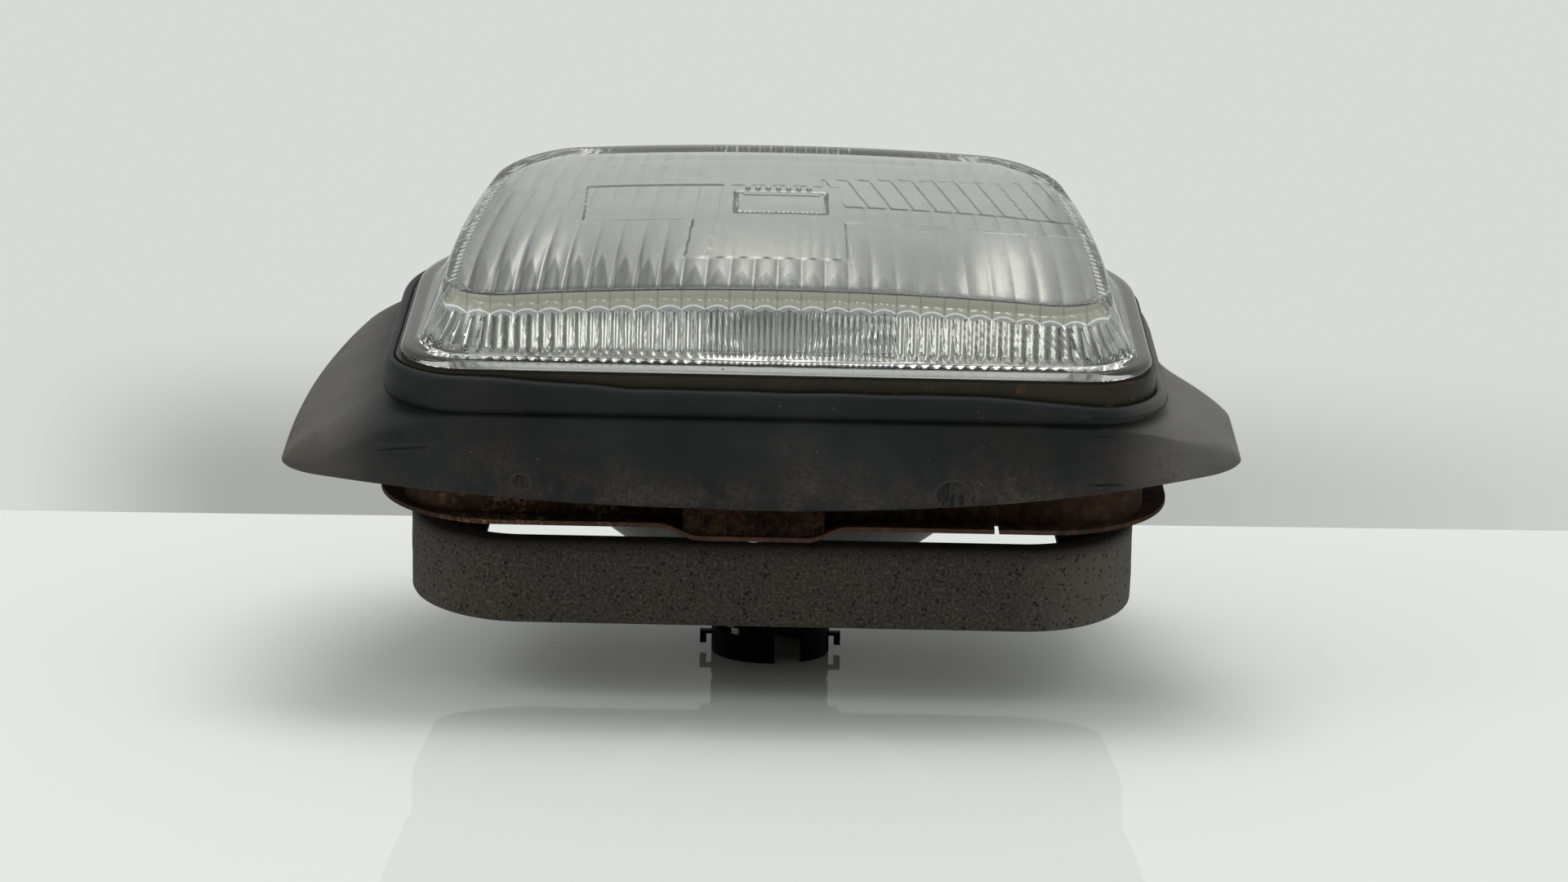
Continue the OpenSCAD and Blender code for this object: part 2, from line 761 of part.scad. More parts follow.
// A shallow dish under the dip filament, held by the third support
module dip_shield() {
    dish_r = support_x + 3.6;
    color([0.60, 0.60, 0.58])
        translate([0, 0, dip_low - 1.4])
            difference() {
                cylinder(r = dish_r, h = 1.4);
                translate([0, 0, 0.5])
                    cylinder(r = dish_r - 0.6, h = 2);
                for (x = [-support_x, support_x])
                    translate([x, 0, -1])
                        cylinder(r = support_r + 0.2, h = 4);
                translate([0, support_x + 3, -1])
                    cylinder(r = support_r + 0.02, h = 4);
            }
}

// Turned by its lugs in the collar's slots, it presses the spring on the bulb's flange
module retaining_ring() {
    color([0.48, 0.47, 0.44])
        union() {
            disc(ring_hole_r, ring_r, ring_low, ring_low + ring_t);
            disc(ring_r - 1, ring_r, ring_low, ring_low + ring_h);
            for (turn = [0, 180])
                sector(ring_r - 0.9, collar_r + 0.3, turn + lug_from, turn + lug_from + lug_angle,
                    slot_low + 0.4, slot_low + slot_h - 0.3);
        }
}

// A tube of six sides along a helix, closed at both ends
spring_rings = 8;
spring_low = ring_low + ring_t + spring_clear + spring_wire_r;
spring_high = flange_under - spring_clear - spring_wire_r;
spring_count = spring_n * spring_rings;
spring_rise = (spring_high - spring_low) / spring_n;
spring_climb = atan(spring_rise / (2 * 180 * spring_r * PI / 180));
function coil_point(i, s) =
    let (turn = i * 360 / spring_rings, side = s * 60,
        out = spring_wire_r * cos(side), up = spring_wire_r * sin(side))
    [(spring_r + out) * cos(turn) + up * sin(spring_climb) * sin(turn),
        (spring_r + out) * sin(turn) - up * sin(spring_climb) * cos(turn),
        spring_low + spring_rise * i / spring_rings + up * cos(spring_climb)];
coil_points = [for (i = [0 : spring_count]) for (s = [0 : 5]) coil_point(i, s)];
coil_faces = concat(
    flat_once([for (i = [0 : spring_count - 1]) for (s = [0 : 5])
        let (a = i * 6 + s, b = i * 6 + (s + 1) % 6) quad(a, b, b + 6, a + 6)]),
    [for (s = [1 : 4]) [0, s + 1, s]],
    [for (s = [1 : 4]) let (e = spring_count * 6) [e, e + s, e + s + 1]]);
coil_gap = min([for (i = [0 : spring_count - spring_rings]) for (s = [0 : 5])
    for (u = [0 : 5]) norm(coil_point(i, s) - coil_point(i + spring_rings, u))]);
echo(least_gap_between_spring_coils = coil_gap);

module ring_spring() {
    color([0.55, 0.54, 0.50])
        polyhedron(coil_points, coil_faces, convexity = 6);
}

ear_x = frame_x - frame_t - 0.2;

// Hangs from the reflector's flange beside the frame's wall and holds a pivot pin
module pivot_ear(side) {
    ear_low = pivot_z - 8;
    ear_high = refl_top - refl_t;
    color(zinc)
        raked()
            difference() {
                union() {
                    translate([side > 0 ? ear_x - pivot_ear_t : -ear_x, pivot_y - pivot_ear_w / 2, ear_low])
                        cube([pivot_ear_t, pivot_ear_w, ear_high - ear_low]);
                    translate([side > 0 ? ear_x - pivot_ear_t : -rim_x + rim_t + 0.4,
                        pivot_y - pivot_ear_w / 2, ear_high - pivot_ear_t])
                        cube([rim_x - rim_t - 0.4 - ear_x + pivot_ear_t, pivot_ear_w, pivot_ear_t]);
                }
                pivot_bore(pivot_r + 0.02);
            }
}

module pivot_bore(r) {
    translate([-rim_x - 10, pivot_y, pivot_z])
        rotate([0, 90, 0])
            cylinder(r = r, h = 2 * rim_x + 20);
}

module pivot_ear_left() {
    pivot_ear(-1);
}

module pivot_ear_right() {
    pivot_ear(1);
}

// One pin each side: upset behind the ear, through ear, frame and washer, then its head
module pivot_pins() {
    upset = 1;
    color([0.50, 0.46, 0.40])
        raked()
            for (side = [-1, 1])
                translate([side * (ear_x - pivot_ear_t), pivot_y, pivot_z])
                    rotate([0, side * 90, 0]) {
                        translate([0, 0, -upset])
                            cylinder(r = pivot_r + 1.2, h = upset);
                        cylinder(r = pivot_r, h = pivot_ear_t + 0.2 + frame_t + washer_t);
                        translate([0, 0, pivot_ear_t + 0.2 + frame_t + washer_t])
                            cylinder(r = pivot_head_r, h = pivot_head_h);
                    }
}

module pivot_washers() {
    color(zinc)
        raked()
            for (side = [-1, 1])
                translate([side * (frame_x + 0.02), pivot_y, pivot_z])
                    rotate([0, side * 90, 0])
                        disc(pivot_r + 0.05, pivot_head_r + 1, 0, washer_t - 0.02);
}

refl_wall_y = rim_y0 + refl_inset_top;

// An angle on the reflector's top wall that reaches through the frame into its box
module aim_lug() {
    tab_h = 9;
    color(zinc)
        raked()
            difference() {
                union() {
                    translate([bulge_x - lug_w / 2, screw_y - nut_collar_r - 0.1, lug_z])
                        cube([lug_w, refl_wall_y - screw_y + nut_collar_r + 0.1, lug_t]);
                    translate([bulge_x - lug_w / 2, refl_wall_y - lug_t, lug_z])
                        cube([lug_w, lug_t, tab_h]);
                }
                translate([bulge_x, screw_y, lug_z - 5])
                    cylinder(r = nut_r + 0.03, h = 20);
            }
}

module aim_nut() {
    color([0.85, 0.84, 0.78])
        raked()
            translate([bulge_x, screw_y, 0])
                difference() {
                    union() {
                        translate([0, 0, lug_z - nut_collar_t])
                            cylinder(r = nut_collar_r, h = nut_collar_t);
                        translate([0, 0, lug_z - eps])
                            cylinder(r = nut_r, h = lug_t + 2 * eps);
                        translate([0, 0, lug_z + lug_t])
                            cylinder(r = nut_collar_r, h = nut_collar_t);
                    }
                    cylinder(r = screw_r + nut_clear, h = 200);
                }
}

// It turns in the floor of the frame's box, between its shoulder and the clip
module aim_screw() {
    slot_d = 1;
    color([0.52, 0.46, 0.36])
        raked()
            translate([bulge_x, screw_y, 0])
                difference() {
                    union() {
                        translate([0, 0, screw_low])
                            cylinder(r = screw_r, h = screw_l);
                        translate([0, 0, bulge_low + frame_t + 0.1])
                            cylinder(r = shoulder_r, h = shoulder_h);
                    }
                    translate([-screw_r - 1, -0.4, screw_low - 1])
                        cube([2 * screw_r + 2, 0.8, slot_d * 0.6 + 1]);
                }
}

module aim_clip() {
    color(zinc)
        raked()
            translate([bulge_x, screw_y, 0])
                disc(screw_r + 0.02, shoulder_r - 0.2, bulge_low - clip_t - 0.1, bulge_low - 0.1);
}

// A slow start and end between 0 and 1
function smooth(t) = let (c = max(0, min(1, t))) c * c * (3 - 2 * c);
// Height of the flange's underside at a place along the top side: it dips under the box
function dip_z(x) = flange_low - bulge_dip * (1 - smooth((abs(x - bulge_x) - dip_half) / dip_slope));
dip_x0 = bulge_x - dip_half - dip_slope - 1;
dip_x1 = bulge_x + dip_half + dip_slope + 1;
dip_n = 36;
function dip_line(x0, x1, rise) =
    [for (i = [0 : dip_n]) let (x = x0 + (x1 - x0) * i / dip_n) [x, dip_z(x) + rise]];

// A block from y0 to y1 whose underside follows the dip at some height above it
module over_dip(x0, x1, y0, y1, rise, high) {
    translate([0, y1, 0])
        rotate([90, 0, 0])
            linear_extrude(y1 - y0)
                polygon(concat(dip_line(x0, x1, rise), [[x1, high], [x0, high]]));
}

// The flange's dipped strip, from y0 to y1
module dip_strip(y0, y1) {
    translate([0, y1, 0])
        rotate([90, 0, 0])
            linear_extrude(y1 - y0)
                polygon(concat(dip_line(dip_x0, dip_x1, 0), [for (i = [dip_n : -1 : 0])
                    dip_line(dip_x0, dip_x1, frame_t)[i]]));
}

// The steel frame: a wall that reaches up into the rim, a flange round its foot, and a box
// pressed out of its top side, in which the aim screw stands
module steel_frame() {
    box_x0 = bulge_x - bulge_w / 2;
    box_x1 = bulge_x + bulge_w / 2;
    box_y0 = frame_y0 - bulge_out;
    lip_y0 = frame_y0 - flange_w;
    behind = frame_y0 + frame_t;
    box_top = bulge_low + bulge_h;
    color(steel_rust)
        raked()
            difference() {
                union() {
                    translate([0, 0, flange_low])
                        linear_extrude(frame_top - flange_low)
                            strip(frame_x, frame_y0, frame_y1, frame_r, frame_t, frame_far);
                    difference() {
                        translate([0, 0, flange_low])
                            linear_extrude(frame_t)
                                difference() {
                                    panel(frame_x + flange_w, lip_y0, frame_y1 + flange_w, flange_r);
                                    panel(frame_x - frame_t, behind, frame_y1 - frame_t,
                                        frame_r - frame_t, frame_far - frame_t);
                                }
                        translate([dip_x0 + 0.5, lip_y0 - 1, flange_low - 1])
                            cube([dip_x1 - dip_x0 - 1, behind - lip_y0 + 1, frame_t + 2]);
                    }
                    dip_strip(lip_y0, behind);
                    over_dip(dip_x0, dip_x1, frame_y0, behind, 0, flange_low + frame_t);
                    over_dip(box_x0, box_x1, box_y0, behind, 0, box_top);
                }
                over_dip(box_x0 + frame_t, box_x1 - frame_t, box_y0 + frame_t, behind + 1,
                    frame_t, box_top - frame_t);
                translate([bulge_x, screw_y, 0])
                    cylinder(r = screw_r + screw_clear, h = bulge_low + frame_t + 1);
                pivot_bore(pivot_r + pivot_clear);
                translate([slit_x - slit_w / 2, lip_y0 - 1, flange_low - 1])
                    cube([slit_w, flange_w + 0.6, frame_t + 2]);
                bracket_rivet_places()
                    cylinder(r = bracket_rivet_r + 0.05, h = 200);
            }
}

bracket_rivet_r = 2;
function bracket_rivet_x(side) = side * (frame_x + flange_w / 2 - 0.2);

module bracket_rivet_places() {
    for (side = [-1, 1])
        for (dy = [-bracket_l / 2 + 8, bracket_l / 2 - 8])
            translate([bracket_rivet_x(side), pivot_y + dy, 0])
                children();
}

module bracket_rivets() {
    head_h = 1;
    color(steel_rust)
        raked()
            bracket_rivet_places() {
                translate([0, 0, flange_low - bracket_t - head_h])
                    cylinder(r = bracket_rivet_r + 0.9, h = head_h);
                translate([0, 0, flange_low - bracket_t - eps])
                    cylinder(r = bracket_rivet_r, h = bracket_t + frame_t + 2 * eps);
                translate([0, 0, flange_low + frame_t])
                    cylinder(r = bracket_rivet_r + 0.9, h = head_h);
            }
}

// The plate's outline seen from the lamp's end: its foot is square to the bulb's axis,
// and its head leans with the flange
module bracket_plate(side) {
    head_z = flange_low * cos(rake);
    rise = sin(rake) * bracket_l / 2;
    mid_y = pivot_y * cos(rake) - flange_low * sin(rake);
    mid_z = head_z + pivot_y * sin(rake);
    half = bracket_l / 2;
    translate([side > 0 ? bracket_x - bracket_t : -bracket_x, 0, 0])
        rotate([90, 0, 90])
            linear_extrude(bracket_t)
                polygon([[bracket_y - half, foot_z], [bracket_y + half, foot_z],
                    [mid_y + half * cos(rake), mid_z + rise],
                    [mid_y - half * cos(rake), mid_z - rise]]);
}

module side_bracket(side) {
    head_w = frame_x + flange_w - 1 - bracket_x + bracket_t;
    color(steel_rust)
        difference() {
            union() {
                bracket_plate(side);
                raked()
                    translate([side > 0 ? bracket_x - bracket_t : -bracket_x + bracket_t - head_w,
                        pivot_y - bracket_l / 2, flange_low - bracket_t])
                        cube([head_w, bracket_l, bracket_t]);
                translate([side > 0 ? foot_x : -bracket_x, bracket_y - bracket_l / 2, foot_z])
                    cube([foot_w, bracket_l, bracket_t]);
            }
            for (dy = [-bolt_spacing / 2, bolt_spacing / 2])
                translate([side * bolt_x, bracket_y + dy, foot_z - 5])
                    cylinder(r = bolt_hole_r, h = 12);
            raked()
                bracket_rivet_places()
                    cylinder(r = bracket_rivet_r + 0.05, h = 200);
        }
}

module side_bracket_left() {
    side_bracket(-1);
}

module side_bracket_right() {
    side_bracket(1);
}

module cushion_band() {
    color(sponge)
        raked()
            translate([0, 0, band_low])
                linear_extrude(band_h)
                    difference() {
                        panel(band_x, frame_y0 + band_inset, frame_y1 - band_inset, band_r);
                        panel(band_x - band_t, frame_y0 + band_inset + band_t,
                            frame_y1 - band_inset - band_t, band_r - band_t);
                    }
}

// The surround as one closed mesh: a loop of stations round the lamp, each with the
// section of the bead, its hook under the rim, and the flared skirt
along_n = 16;
side_n = 10;
corner_n = 6;
far_n = 12;
corners = [[1, -1, -90], [1, 1, 0], [-1, 1, 90], [-1, -1, 180]];
// One corner of a loop, of half width hx and half depth hy; r is its radius across and down
function corner_points(hx, hy, r, c, n) = [for (i = [0 : n])
    let (a = corners[c][2] + 90 * i / n)
    [corners[c][0] * (hx - r[0]) + r[0] * cos(a), corners[c][1] * (hy - r[1]) + r[1] * sin(a)]];
function between(a, b, n) = [for (i = [1 : n - 1]) a + (b - a) * i / n];
function loop(hx, hy, near, far) =
    let (c = [for (k = [0 : 3]) k == 1 || k == 2 ? corner_points(hx, hy, far, k, far_n)
        : corner_points(hx, hy, near, k, corner_n)])
    concat(c[0], between(c[0][corner_n], c[1][0], side_n), c[1],
        between(c[1][far_n], c[2][0], along_n), c[2],
        between(c[2][far_n], c[3][0], side_n), c[3],
        between(c[3][corner_n], c[0][0], along_n));
function rim_loop(out) =
    [for (p = loop(rim_x + out, rim_d / 2 + out, [1, 1] * (rim_r + out), [1, 1] * (rim_far + out)))
        [p[0], p[1] + rim_back]];
stations = len(rim_loop(0));
unit_loop = loop(1, 1, [0.06, 0.06], [0.35, 0.5]);

// Shape of the skirt's lower edge, from places u across and v down the lamp, -1 to 1
function hem_x(u, v) =
    let (w = (v + 1) / 2, least = rim_x + bead_t + 1)
    u < 0 ? u * max(least, skirt_x - 28 * pow(w, 2.4))
    : u * (least + (skirt_x_right - least) * (1 - smooth((w - 0.28) / 0.38)));
function hem_y(u, v) = v < 0
    ? rim_back + v * (rim_d / 2 + skirt_out) + pow(abs(u), 3) * (u < 0 ? 9 : 16) * -v
    : rim_back + v * (rim_d / 2 + bead_t + 1);
function hem_z(u, v) =
    let (w = (v + 1) / 2, lift = u < 0 ? skirt_left_lift : skirt_right_lift)
    skirt_low + lift * pow(abs(u), 1.6) * (1 - w) + w * (u < 0 ? 18 : 14 + 4 * (1 - u));
function hem(k) = let (p = unit_loop[k]) [hem_x(p[0], p[1]), hem_y(p[0], p[1]), hem_z(p[0], p[1])];
function rise_left(k) = bead_rise * pow(max(0, -unit_loop[k][0] - 0.45) / 0.55, 0.7);

bead_low = rim_low - rubber_clear - hook_h;
bead_high = rim_top - bead_drop;
outer_loop = rim_loop(bead_t);
contact_loop = rim_loop(rubber_clear);
hook_loop = rim_loop(-rim_t + 0.2);
function blend(a, b, t) = a + (b - a) * t;
function outward(k) = let (d = hem(k) - concat(outer_loop[k], bead_low)) d / norm(d);
// The sheet's thickness, laid off square to its slope
function inward(k) =
    let (d = outward(k), h = norm([d[0], d[1]]))
    h < 0.05 ? [0, 0, -skirt_t]
    : [-d[0] / h * max(0.45, -d[2]), -d[1] / h * max(0.45, -d[2]), -h] * skirt_t;
bow = [0, 0, skirt_bow];
function section(k) =
    let (top = concat(outer_loop[k], bead_low + 2.2), edge = hem(k))
    [concat(contact_loop[k], bead_high + rise_left(k)),
        concat(blend(contact_loop[k], outer_loop[k], 0.75), bead_high + rise_left(k)),
        concat(outer_loop[k], bead_high + rise_left(k) - 1),
        top,
        blend(top, edge, 0.5) + bow,
        edge,
        edge + inward(k),
        blend(top, edge, 0.5) + bow + inward(k),
        concat(blend(contact_loop[k], outer_loop[k], 0.3), bead_low),
        concat(hook_loop[k], bead_low + 0.6),
        concat(hook_loop[k], rim_low - rubber_clear),
        concat(contact_loop[k], rim_low - rubber_clear)];
section_n = 12;
surround_points = [for (k = [0 : stations - 1]) each section(k)];
surround_faces = flat_once([for (k = [0 : stations - 1]) for (s = [0 : section_n - 1])
    let (a = k * section_n + s, b = k * section_n + (s + 1) % section_n,
        c = ((k + 1) % stations) * section_n + (s + 1) % section_n,
        d = ((k + 1) % stations) * section_n + s)
    quad(a, b, c, d)]);

module rubber_surround() {
    color(rubber)
        raked()
            polyhedron(surround_points, surround_faces, convexity = 8);
}

lens_glass();
lens_sealant();
lens_rim();
reflector();
bulb_collar();
collar_gasket();
collar_rivets();
bulb_cap();
bulb_insulator();
bulb_contacts();
bulb_glass();
bulb_supports();
main_filament();
dip_filament();
dip_shield();
retaining_ring();
ring_spring();
pivot_ear_left();
pivot_ear_right();
pivot_pins();
pivot_washers();
aim_lug();
aim_nut();
aim_screw();
aim_clip();
steel_frame();
side_bracket_left();
side_bracket_right();
bracket_rivets();
cushion_band();
rubber_surround();
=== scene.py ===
"""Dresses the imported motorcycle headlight: pressed glass, mirror bowl, rubber surround,
sponge band and rusted steel, on a glossy white table. Lengths inside the functions are
millimetres in the raked frame of the part's source, unless a name says world."""

import math

import bpy
import numpy as np
from bpy.props import FloatProperty, FloatVectorProperty, IntProperty, PointerProperty
from mathutils import Matrix


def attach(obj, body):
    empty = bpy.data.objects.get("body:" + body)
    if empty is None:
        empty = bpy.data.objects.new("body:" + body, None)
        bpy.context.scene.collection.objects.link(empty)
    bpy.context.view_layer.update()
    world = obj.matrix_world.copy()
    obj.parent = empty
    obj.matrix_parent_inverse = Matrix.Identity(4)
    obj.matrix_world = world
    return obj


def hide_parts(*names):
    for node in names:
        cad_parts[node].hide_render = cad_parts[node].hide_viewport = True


bl_info = {
    "name": "Motorcycle headlight",
    "version": (1, 0, 0),
    "blender": (4, 5, 0),
    "location": "3D View > Sidebar > Headlight",
    "description": "Builds the looks of a motorcycle headlight on its packed frame",
    "category": "Object",
}

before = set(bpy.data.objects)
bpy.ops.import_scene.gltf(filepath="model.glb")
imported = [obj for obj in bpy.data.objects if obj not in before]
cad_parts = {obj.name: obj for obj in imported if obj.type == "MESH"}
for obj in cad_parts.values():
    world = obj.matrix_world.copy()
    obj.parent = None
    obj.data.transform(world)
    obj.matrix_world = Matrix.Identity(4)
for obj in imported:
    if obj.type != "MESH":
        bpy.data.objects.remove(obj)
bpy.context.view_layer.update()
MM = 0.001
RAKE = math.radians(5.7)

# Outlines that the part's source gives: half width, top side, bottom side, and the corner
# radius at the top side and at the bottom side
RIM = (100.0, -66.9, 73.1, 18.8, 60.0)
FACE = (87.0, -57.0, 61.0, 17.0, 20.0)
BOWL_WALL = (95.0, -60.9, 61.6, 14.0, 55.0)
BOWL_FLANGE = (98.7, -65.6, 71.8, 17.6, 58.8)
BAND = (97.0, -63.9, 70.1, 31.0, 31.0)

# The lens: heights of foot and flange, insets from the rim, how the face narrows towards
# the bottom side, and the pitch and places of its flutes and fine grooves
GLASS_LOW = 99.5
GLASS_FLANGE_TOP = 101.9
GLASS_INSET = 1.2
FOOT_INSET = 6.0
FACE_DEEP = FACE[2] - FACE[1]
FACE_TAPER = 13.0
TAPER_FROM = -40.0
ROUND_DROP = 2.9
FLUTE_PITCH = 6.214
MIDDLE_HALF = 18.64
STRIP = 6.2
FINE_RIGHT = 31.1
BLOCK_LINES = (-30.0, 0.25, 12.0, 29.0, 36.0)

# Marks for points of the lens that lie on the flange and inside
ON_FLANGE = 40.0
INSIDE = 99.0

# The bowl: its apex, four focal lengths, its sheet and the top of its flange
BOWL_APEX = 21
FOUR_FOCI = 120
BOWL_SHEET = 0.9
BOWL_TOP = 97.7
BAND_LOW = 29.3


# Shapes


def to_world(points):
    """Turns raked points about X: y = y' cos - z' sin, z = y' sin + z' cos."""
    p = np.array(points, float)
    y, z = p[..., 1].copy(), p[..., 2].copy()
    p[..., 1] = y * math.cos(RAKE) - z * math.sin(RAKE)
    p[..., 2] = y * math.sin(RAKE) + z * math.cos(RAKE)
    return p


def grid_faces(rows, columns, close_rows=False, close_columns=False, first=0, flip=False):
    """Quads over a grid of points, closed on itself where it loops."""
    i = np.arange(rows if close_rows else rows - 1)[:, None]
    j = np.arange(columns if close_columns else columns - 1)[None, :]
    here, below = i * columns, (i + 1) % rows * columns
    nxt = (j + 1) % columns
    quads = np.stack([here + j, here + nxt, below + nxt, below + j], -1).reshape(-1, 4)
    return first + (quads[:, ::-1] if flip else quads)


def make_piece(name, shape, material, body, nodes, sharp_deg):
    """Makes a smooth-shaded piece from a shape: points in world millimetres, groups of
    faces, and marks, which are numbers for each point that the material reads by name."""
    points_mm, faces, marks = shape
    mesh = bpy.data.meshes.new(name)
    polygons = [face for group in faces for face in group.tolist()]
    mesh.from_pydata((points_mm * MM).tolist(), [], polygons)
    mesh.polygons.foreach_set("use_smooth", np.ones(len(mesh.polygons), bool))
    mesh.set_sharp_from_angle(angle=math.radians(sharp_deg))
    for key, values in marks.items():
        layer = mesh.attributes.new(key, "FLOAT", "POINT")
        layer.data.foreach_set("value", values.astype(np.float32))
    mesh.validate()
    mesh.update()
    mesh.materials.append(material)
    piece = bpy.data.objects.new(name, mesh)
    bpy.context.scene.collection.objects.link(piece)
    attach(piece, body)
    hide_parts(*nodes)
    return piece


def round_loop(outline, along, side, corner, grow=0.0):
    """Points of a rectangle with round corners, anticlockwise from its right top corner.
    Each corner is a quarter of an ellipse, whose radius may be a number or a pair, and the
    straight runs are shared out evenly. grow moves the whole outline outwards."""
    half, low, high = outline[0] + grow, outline[1] - grow, outline[2] + grow
    middle, reach = (low + high) / 2, (high - low) / 2
    turn = np.linspace(0, math.pi / 2, corner + 1)
    places = ((1, -1, -math.pi / 2), (1, 1, 0), (-1, 1, math.pi / 2), (-1, -1, math.pi))
    quarters = []
    for sx, sy, start in places:
        wide, deep = np.broadcast_to(outline[4 if sy > 0 else 3], 2) + grow
        x = sx * (half - wide) + wide * np.cos(start + turn)
        y = middle + sy * (reach - deep) + deep * np.sin(start + turn)
        quarters.append(np.stack([x, y], -1))
    runs = []
    for k, count in enumerate((side, along, side, along)):
        share = np.linspace(0, 1, count + 1)[1:-1, None]
        end, start = quarters[k][-1], quarters[(k + 1) % 4][0]
        runs += [quarters[k], end + (start - end) * share]
    return np.concatenate(runs)


def outward(loop):
    """Unit normals of a closed anticlockwise loop in its plane, from its neighbours."""
    along = np.roll(loop, -1, 0) - np.roll(loop, 1, 0)
    normal = np.stack([along[:, 1], -along[:, 0]], -1)
    return normal / np.linalg.norm(normal, axis=1, keepdims=True)


def lifted(flat, height):
    """Points of a flat outline, raised to one height or each to its own."""
    return np.column_stack([flat, np.broadcast_to(height, len(flat))])


def ease(value, start, end):
    """Smooth step from 0 at start to 1 at end."""
    t = np.clip((value - start) / (end - start), 0, 1)
    return t * t * (3 - 2 * t)


def ripple(x, y, z, size, seed=0.0):
    """Smooth waves in all directions, about -1 to 1: a sum of sines whose directions turn
    by the golden angle and whose lengths shrink."""
    total = np.zeros(np.broadcast(x, y, z).shape)
    for k in range(6):
        a, b = 2.4 * k + seed, 1.1 * k + 2 * seed
        way = (math.cos(a), math.sin(a) * math.cos(b), math.sin(a) * math.sin(b) + 0.3)
        length = size / (1 + 0.45 * k)
        total += np.sin((x * way[0] + y * way[1] + z * way[2]) * 2 * math.pi / length + 5 * b)
    return total / 6


# The glass lens


def arc_in(x, half, radius):
    """How far an outline's side lies inside its straight run, at a place across it."""
    over = np.clip(np.abs(x) - half + radius, 0, radius)
    return radius - np.sqrt(radius**2 - over**2)


def carried(u, v, outline):
    """Places u across the face, in mm, and v down it, 0 to 1, carried to an outline."""
    half, low, high, near, far = outline
    x = u * half / FACE[0]
    start, end = low + arc_in(x, half, near), high - arc_in(x, half, far)
    return np.stack([x, start + (end - start) * v], -1)


def face_ring(u, v, out):
    """The face's outline moved outwards, drawn in at its ends towards the bottom side."""
    outline = (FACE[0] + out, FACE[1] - out, FACE[2] + out, FACE[3] + out / 2, FACE[4] + out / 2)
    p = carried(u, v, outline)
    t = np.maximum(0, (p[..., 1] - TAPER_FROM) / (FACE[2] - TAPER_FROM))
    p[..., 0] *= 1 - FACE_TAPER / FACE[0] * t * t
    return p


def lamp_ring(u, v, inset):
    """The rim's outline moved inwards."""
    near = RIM[3] - inset + (inset - GLASS_INSET) / 2
    outline = (RIM[0] - inset, RIM[1] + inset, RIM[2] - inset, near, RIM[4] - inset)
    return carried(u, v, outline)


def face_height(x, y):
    """Outside of the face: rises towards the bottom side and falls to the two ends."""
    return GLASS_FLANGE_TOP + 18.7 + 9.3 * (y - FACE[1]) / FACE_DEEP - 4 * (x / FACE[0]) ** 2


def arcs(place, pitch):
    """A row of round grooves: 1 in the middle of each, 0 at the crest between two."""
    t = 2 * np.mod(place / pitch, 1) - 1
    return 1 - t * t


def relief(u, x, y, sizes):
    """How much glass is missing inside the face, by blocks: deep flutes along the top
    side, shallow ones behind, narrow ones in the middle, and slanted steps at the right.
    u is the place across before the face is drawn in, so that flutes run with its ends.
    A block has a level and a share of the shallow depth for its grooves."""
    pitch = 2 * FACE[0] / sizes.flutes
    shallow = sizes.block_depth / MM
    left_edge, right_edge = 0.053 * (y + 30) - MIDDLE_HALF, MIDDLE_HALF - 0.02 * (y + 30)
    top_line = 33 + 0.12 * np.clip(x, 0, 60) + 0.3 * np.clip(x - 60, 0, 30)
    leaning = arcs(u - 0.02 * (y + 40) * (x < 0) + FACE[0], pitch)
    upright = arcs(u + FACE[0], pitch)
    narrow = arcs(u + FACE[0], pitch / 2)
    steps = np.mod((x + FACE[0] + 0.26 * (y - 12)) / pitch, 1)
    fade = (1 - 0.75 * ease(y, -56, 6)) * (1 - 0.4 * ease(x, -34, -16))
    deep = sizes.flute_depth / MM * fade * (1 - 0.45 * ease(x, 18, 36))
    between = (y > -30) & (y < 29)
    blocks = (
        ((x > left_edge) & (x < right_edge) & between, 0.2, 0.12, narrow),
        ((x > left_edge - STRIP) & (x < left_edge) & between, 0.4, 0.1, leaning),
        ((x <= left_edge) & (y >= 29), 0.1, 0.2, upright),
        ((x <= left_edge) & (x > -53) & (y > 0.5), 0.3, 0.3, leaning),
        ((x > 0) & (y >= top_line), 0.1, 0.2, upright),
        ((x > 12) & (y > 12), 0.15, 0.28, steps),
        ((x >= right_edge) & (y > 0), 0.3, 0.4, upright),
        (y >= 29, 0.1, 0.2, upright),
    )
    inside = [where for where, *_ in blocks]
    missing = [level + share * shallow * groove for _, level, share, groove in blocks]
    return np.select(inside, missing, deep * leaning)


def plate(x, y):
    """The bare plate near the bottom side: a raised field in a beaded frame, with a row
    of small ridges beyond it."""
    dx, dy = np.abs(x - 0.6) - 12.4, np.abs(y - 15.4) - 8.6
    edge = np.maximum(dx, dy)
    field = -0.35 * (1 - ease(edge, -0.3, 0.3))
    beads = 0.5 + 0.5 * np.cos(2 * math.pi * np.where(dy > dx, x, y) / 1.3)
    rail = -0.45 * np.exp(-((edge / 0.45) ** 2)) * (0.55 + 0.45 * beads)
    inner = -0.3 * np.exp(-(((edge + 2.2) / 0.35) ** 2)) * (dy > dx)
    ridges = -0.5 * np.exp(-((np.mod(x + 10, 2.8) - 1.4) ** 2) / 0.12)
    ridges = ridges * ease(y, 24.6, 25.2) * (1 - ease(y, 27.6, 28.2)) * (np.abs(x) < 9.6)
    return field + rail + inner + ridges


def grid_border(rows, columns):
    """Indices of a grid's border, anticlockwise from its left top corner."""
    index = np.arange(rows * columns).reshape(rows, columns)
    return np.concatenate([index[0, :-1], index[:-1, -1], index[-1, :0:-1], index[:0:-1, 0]])


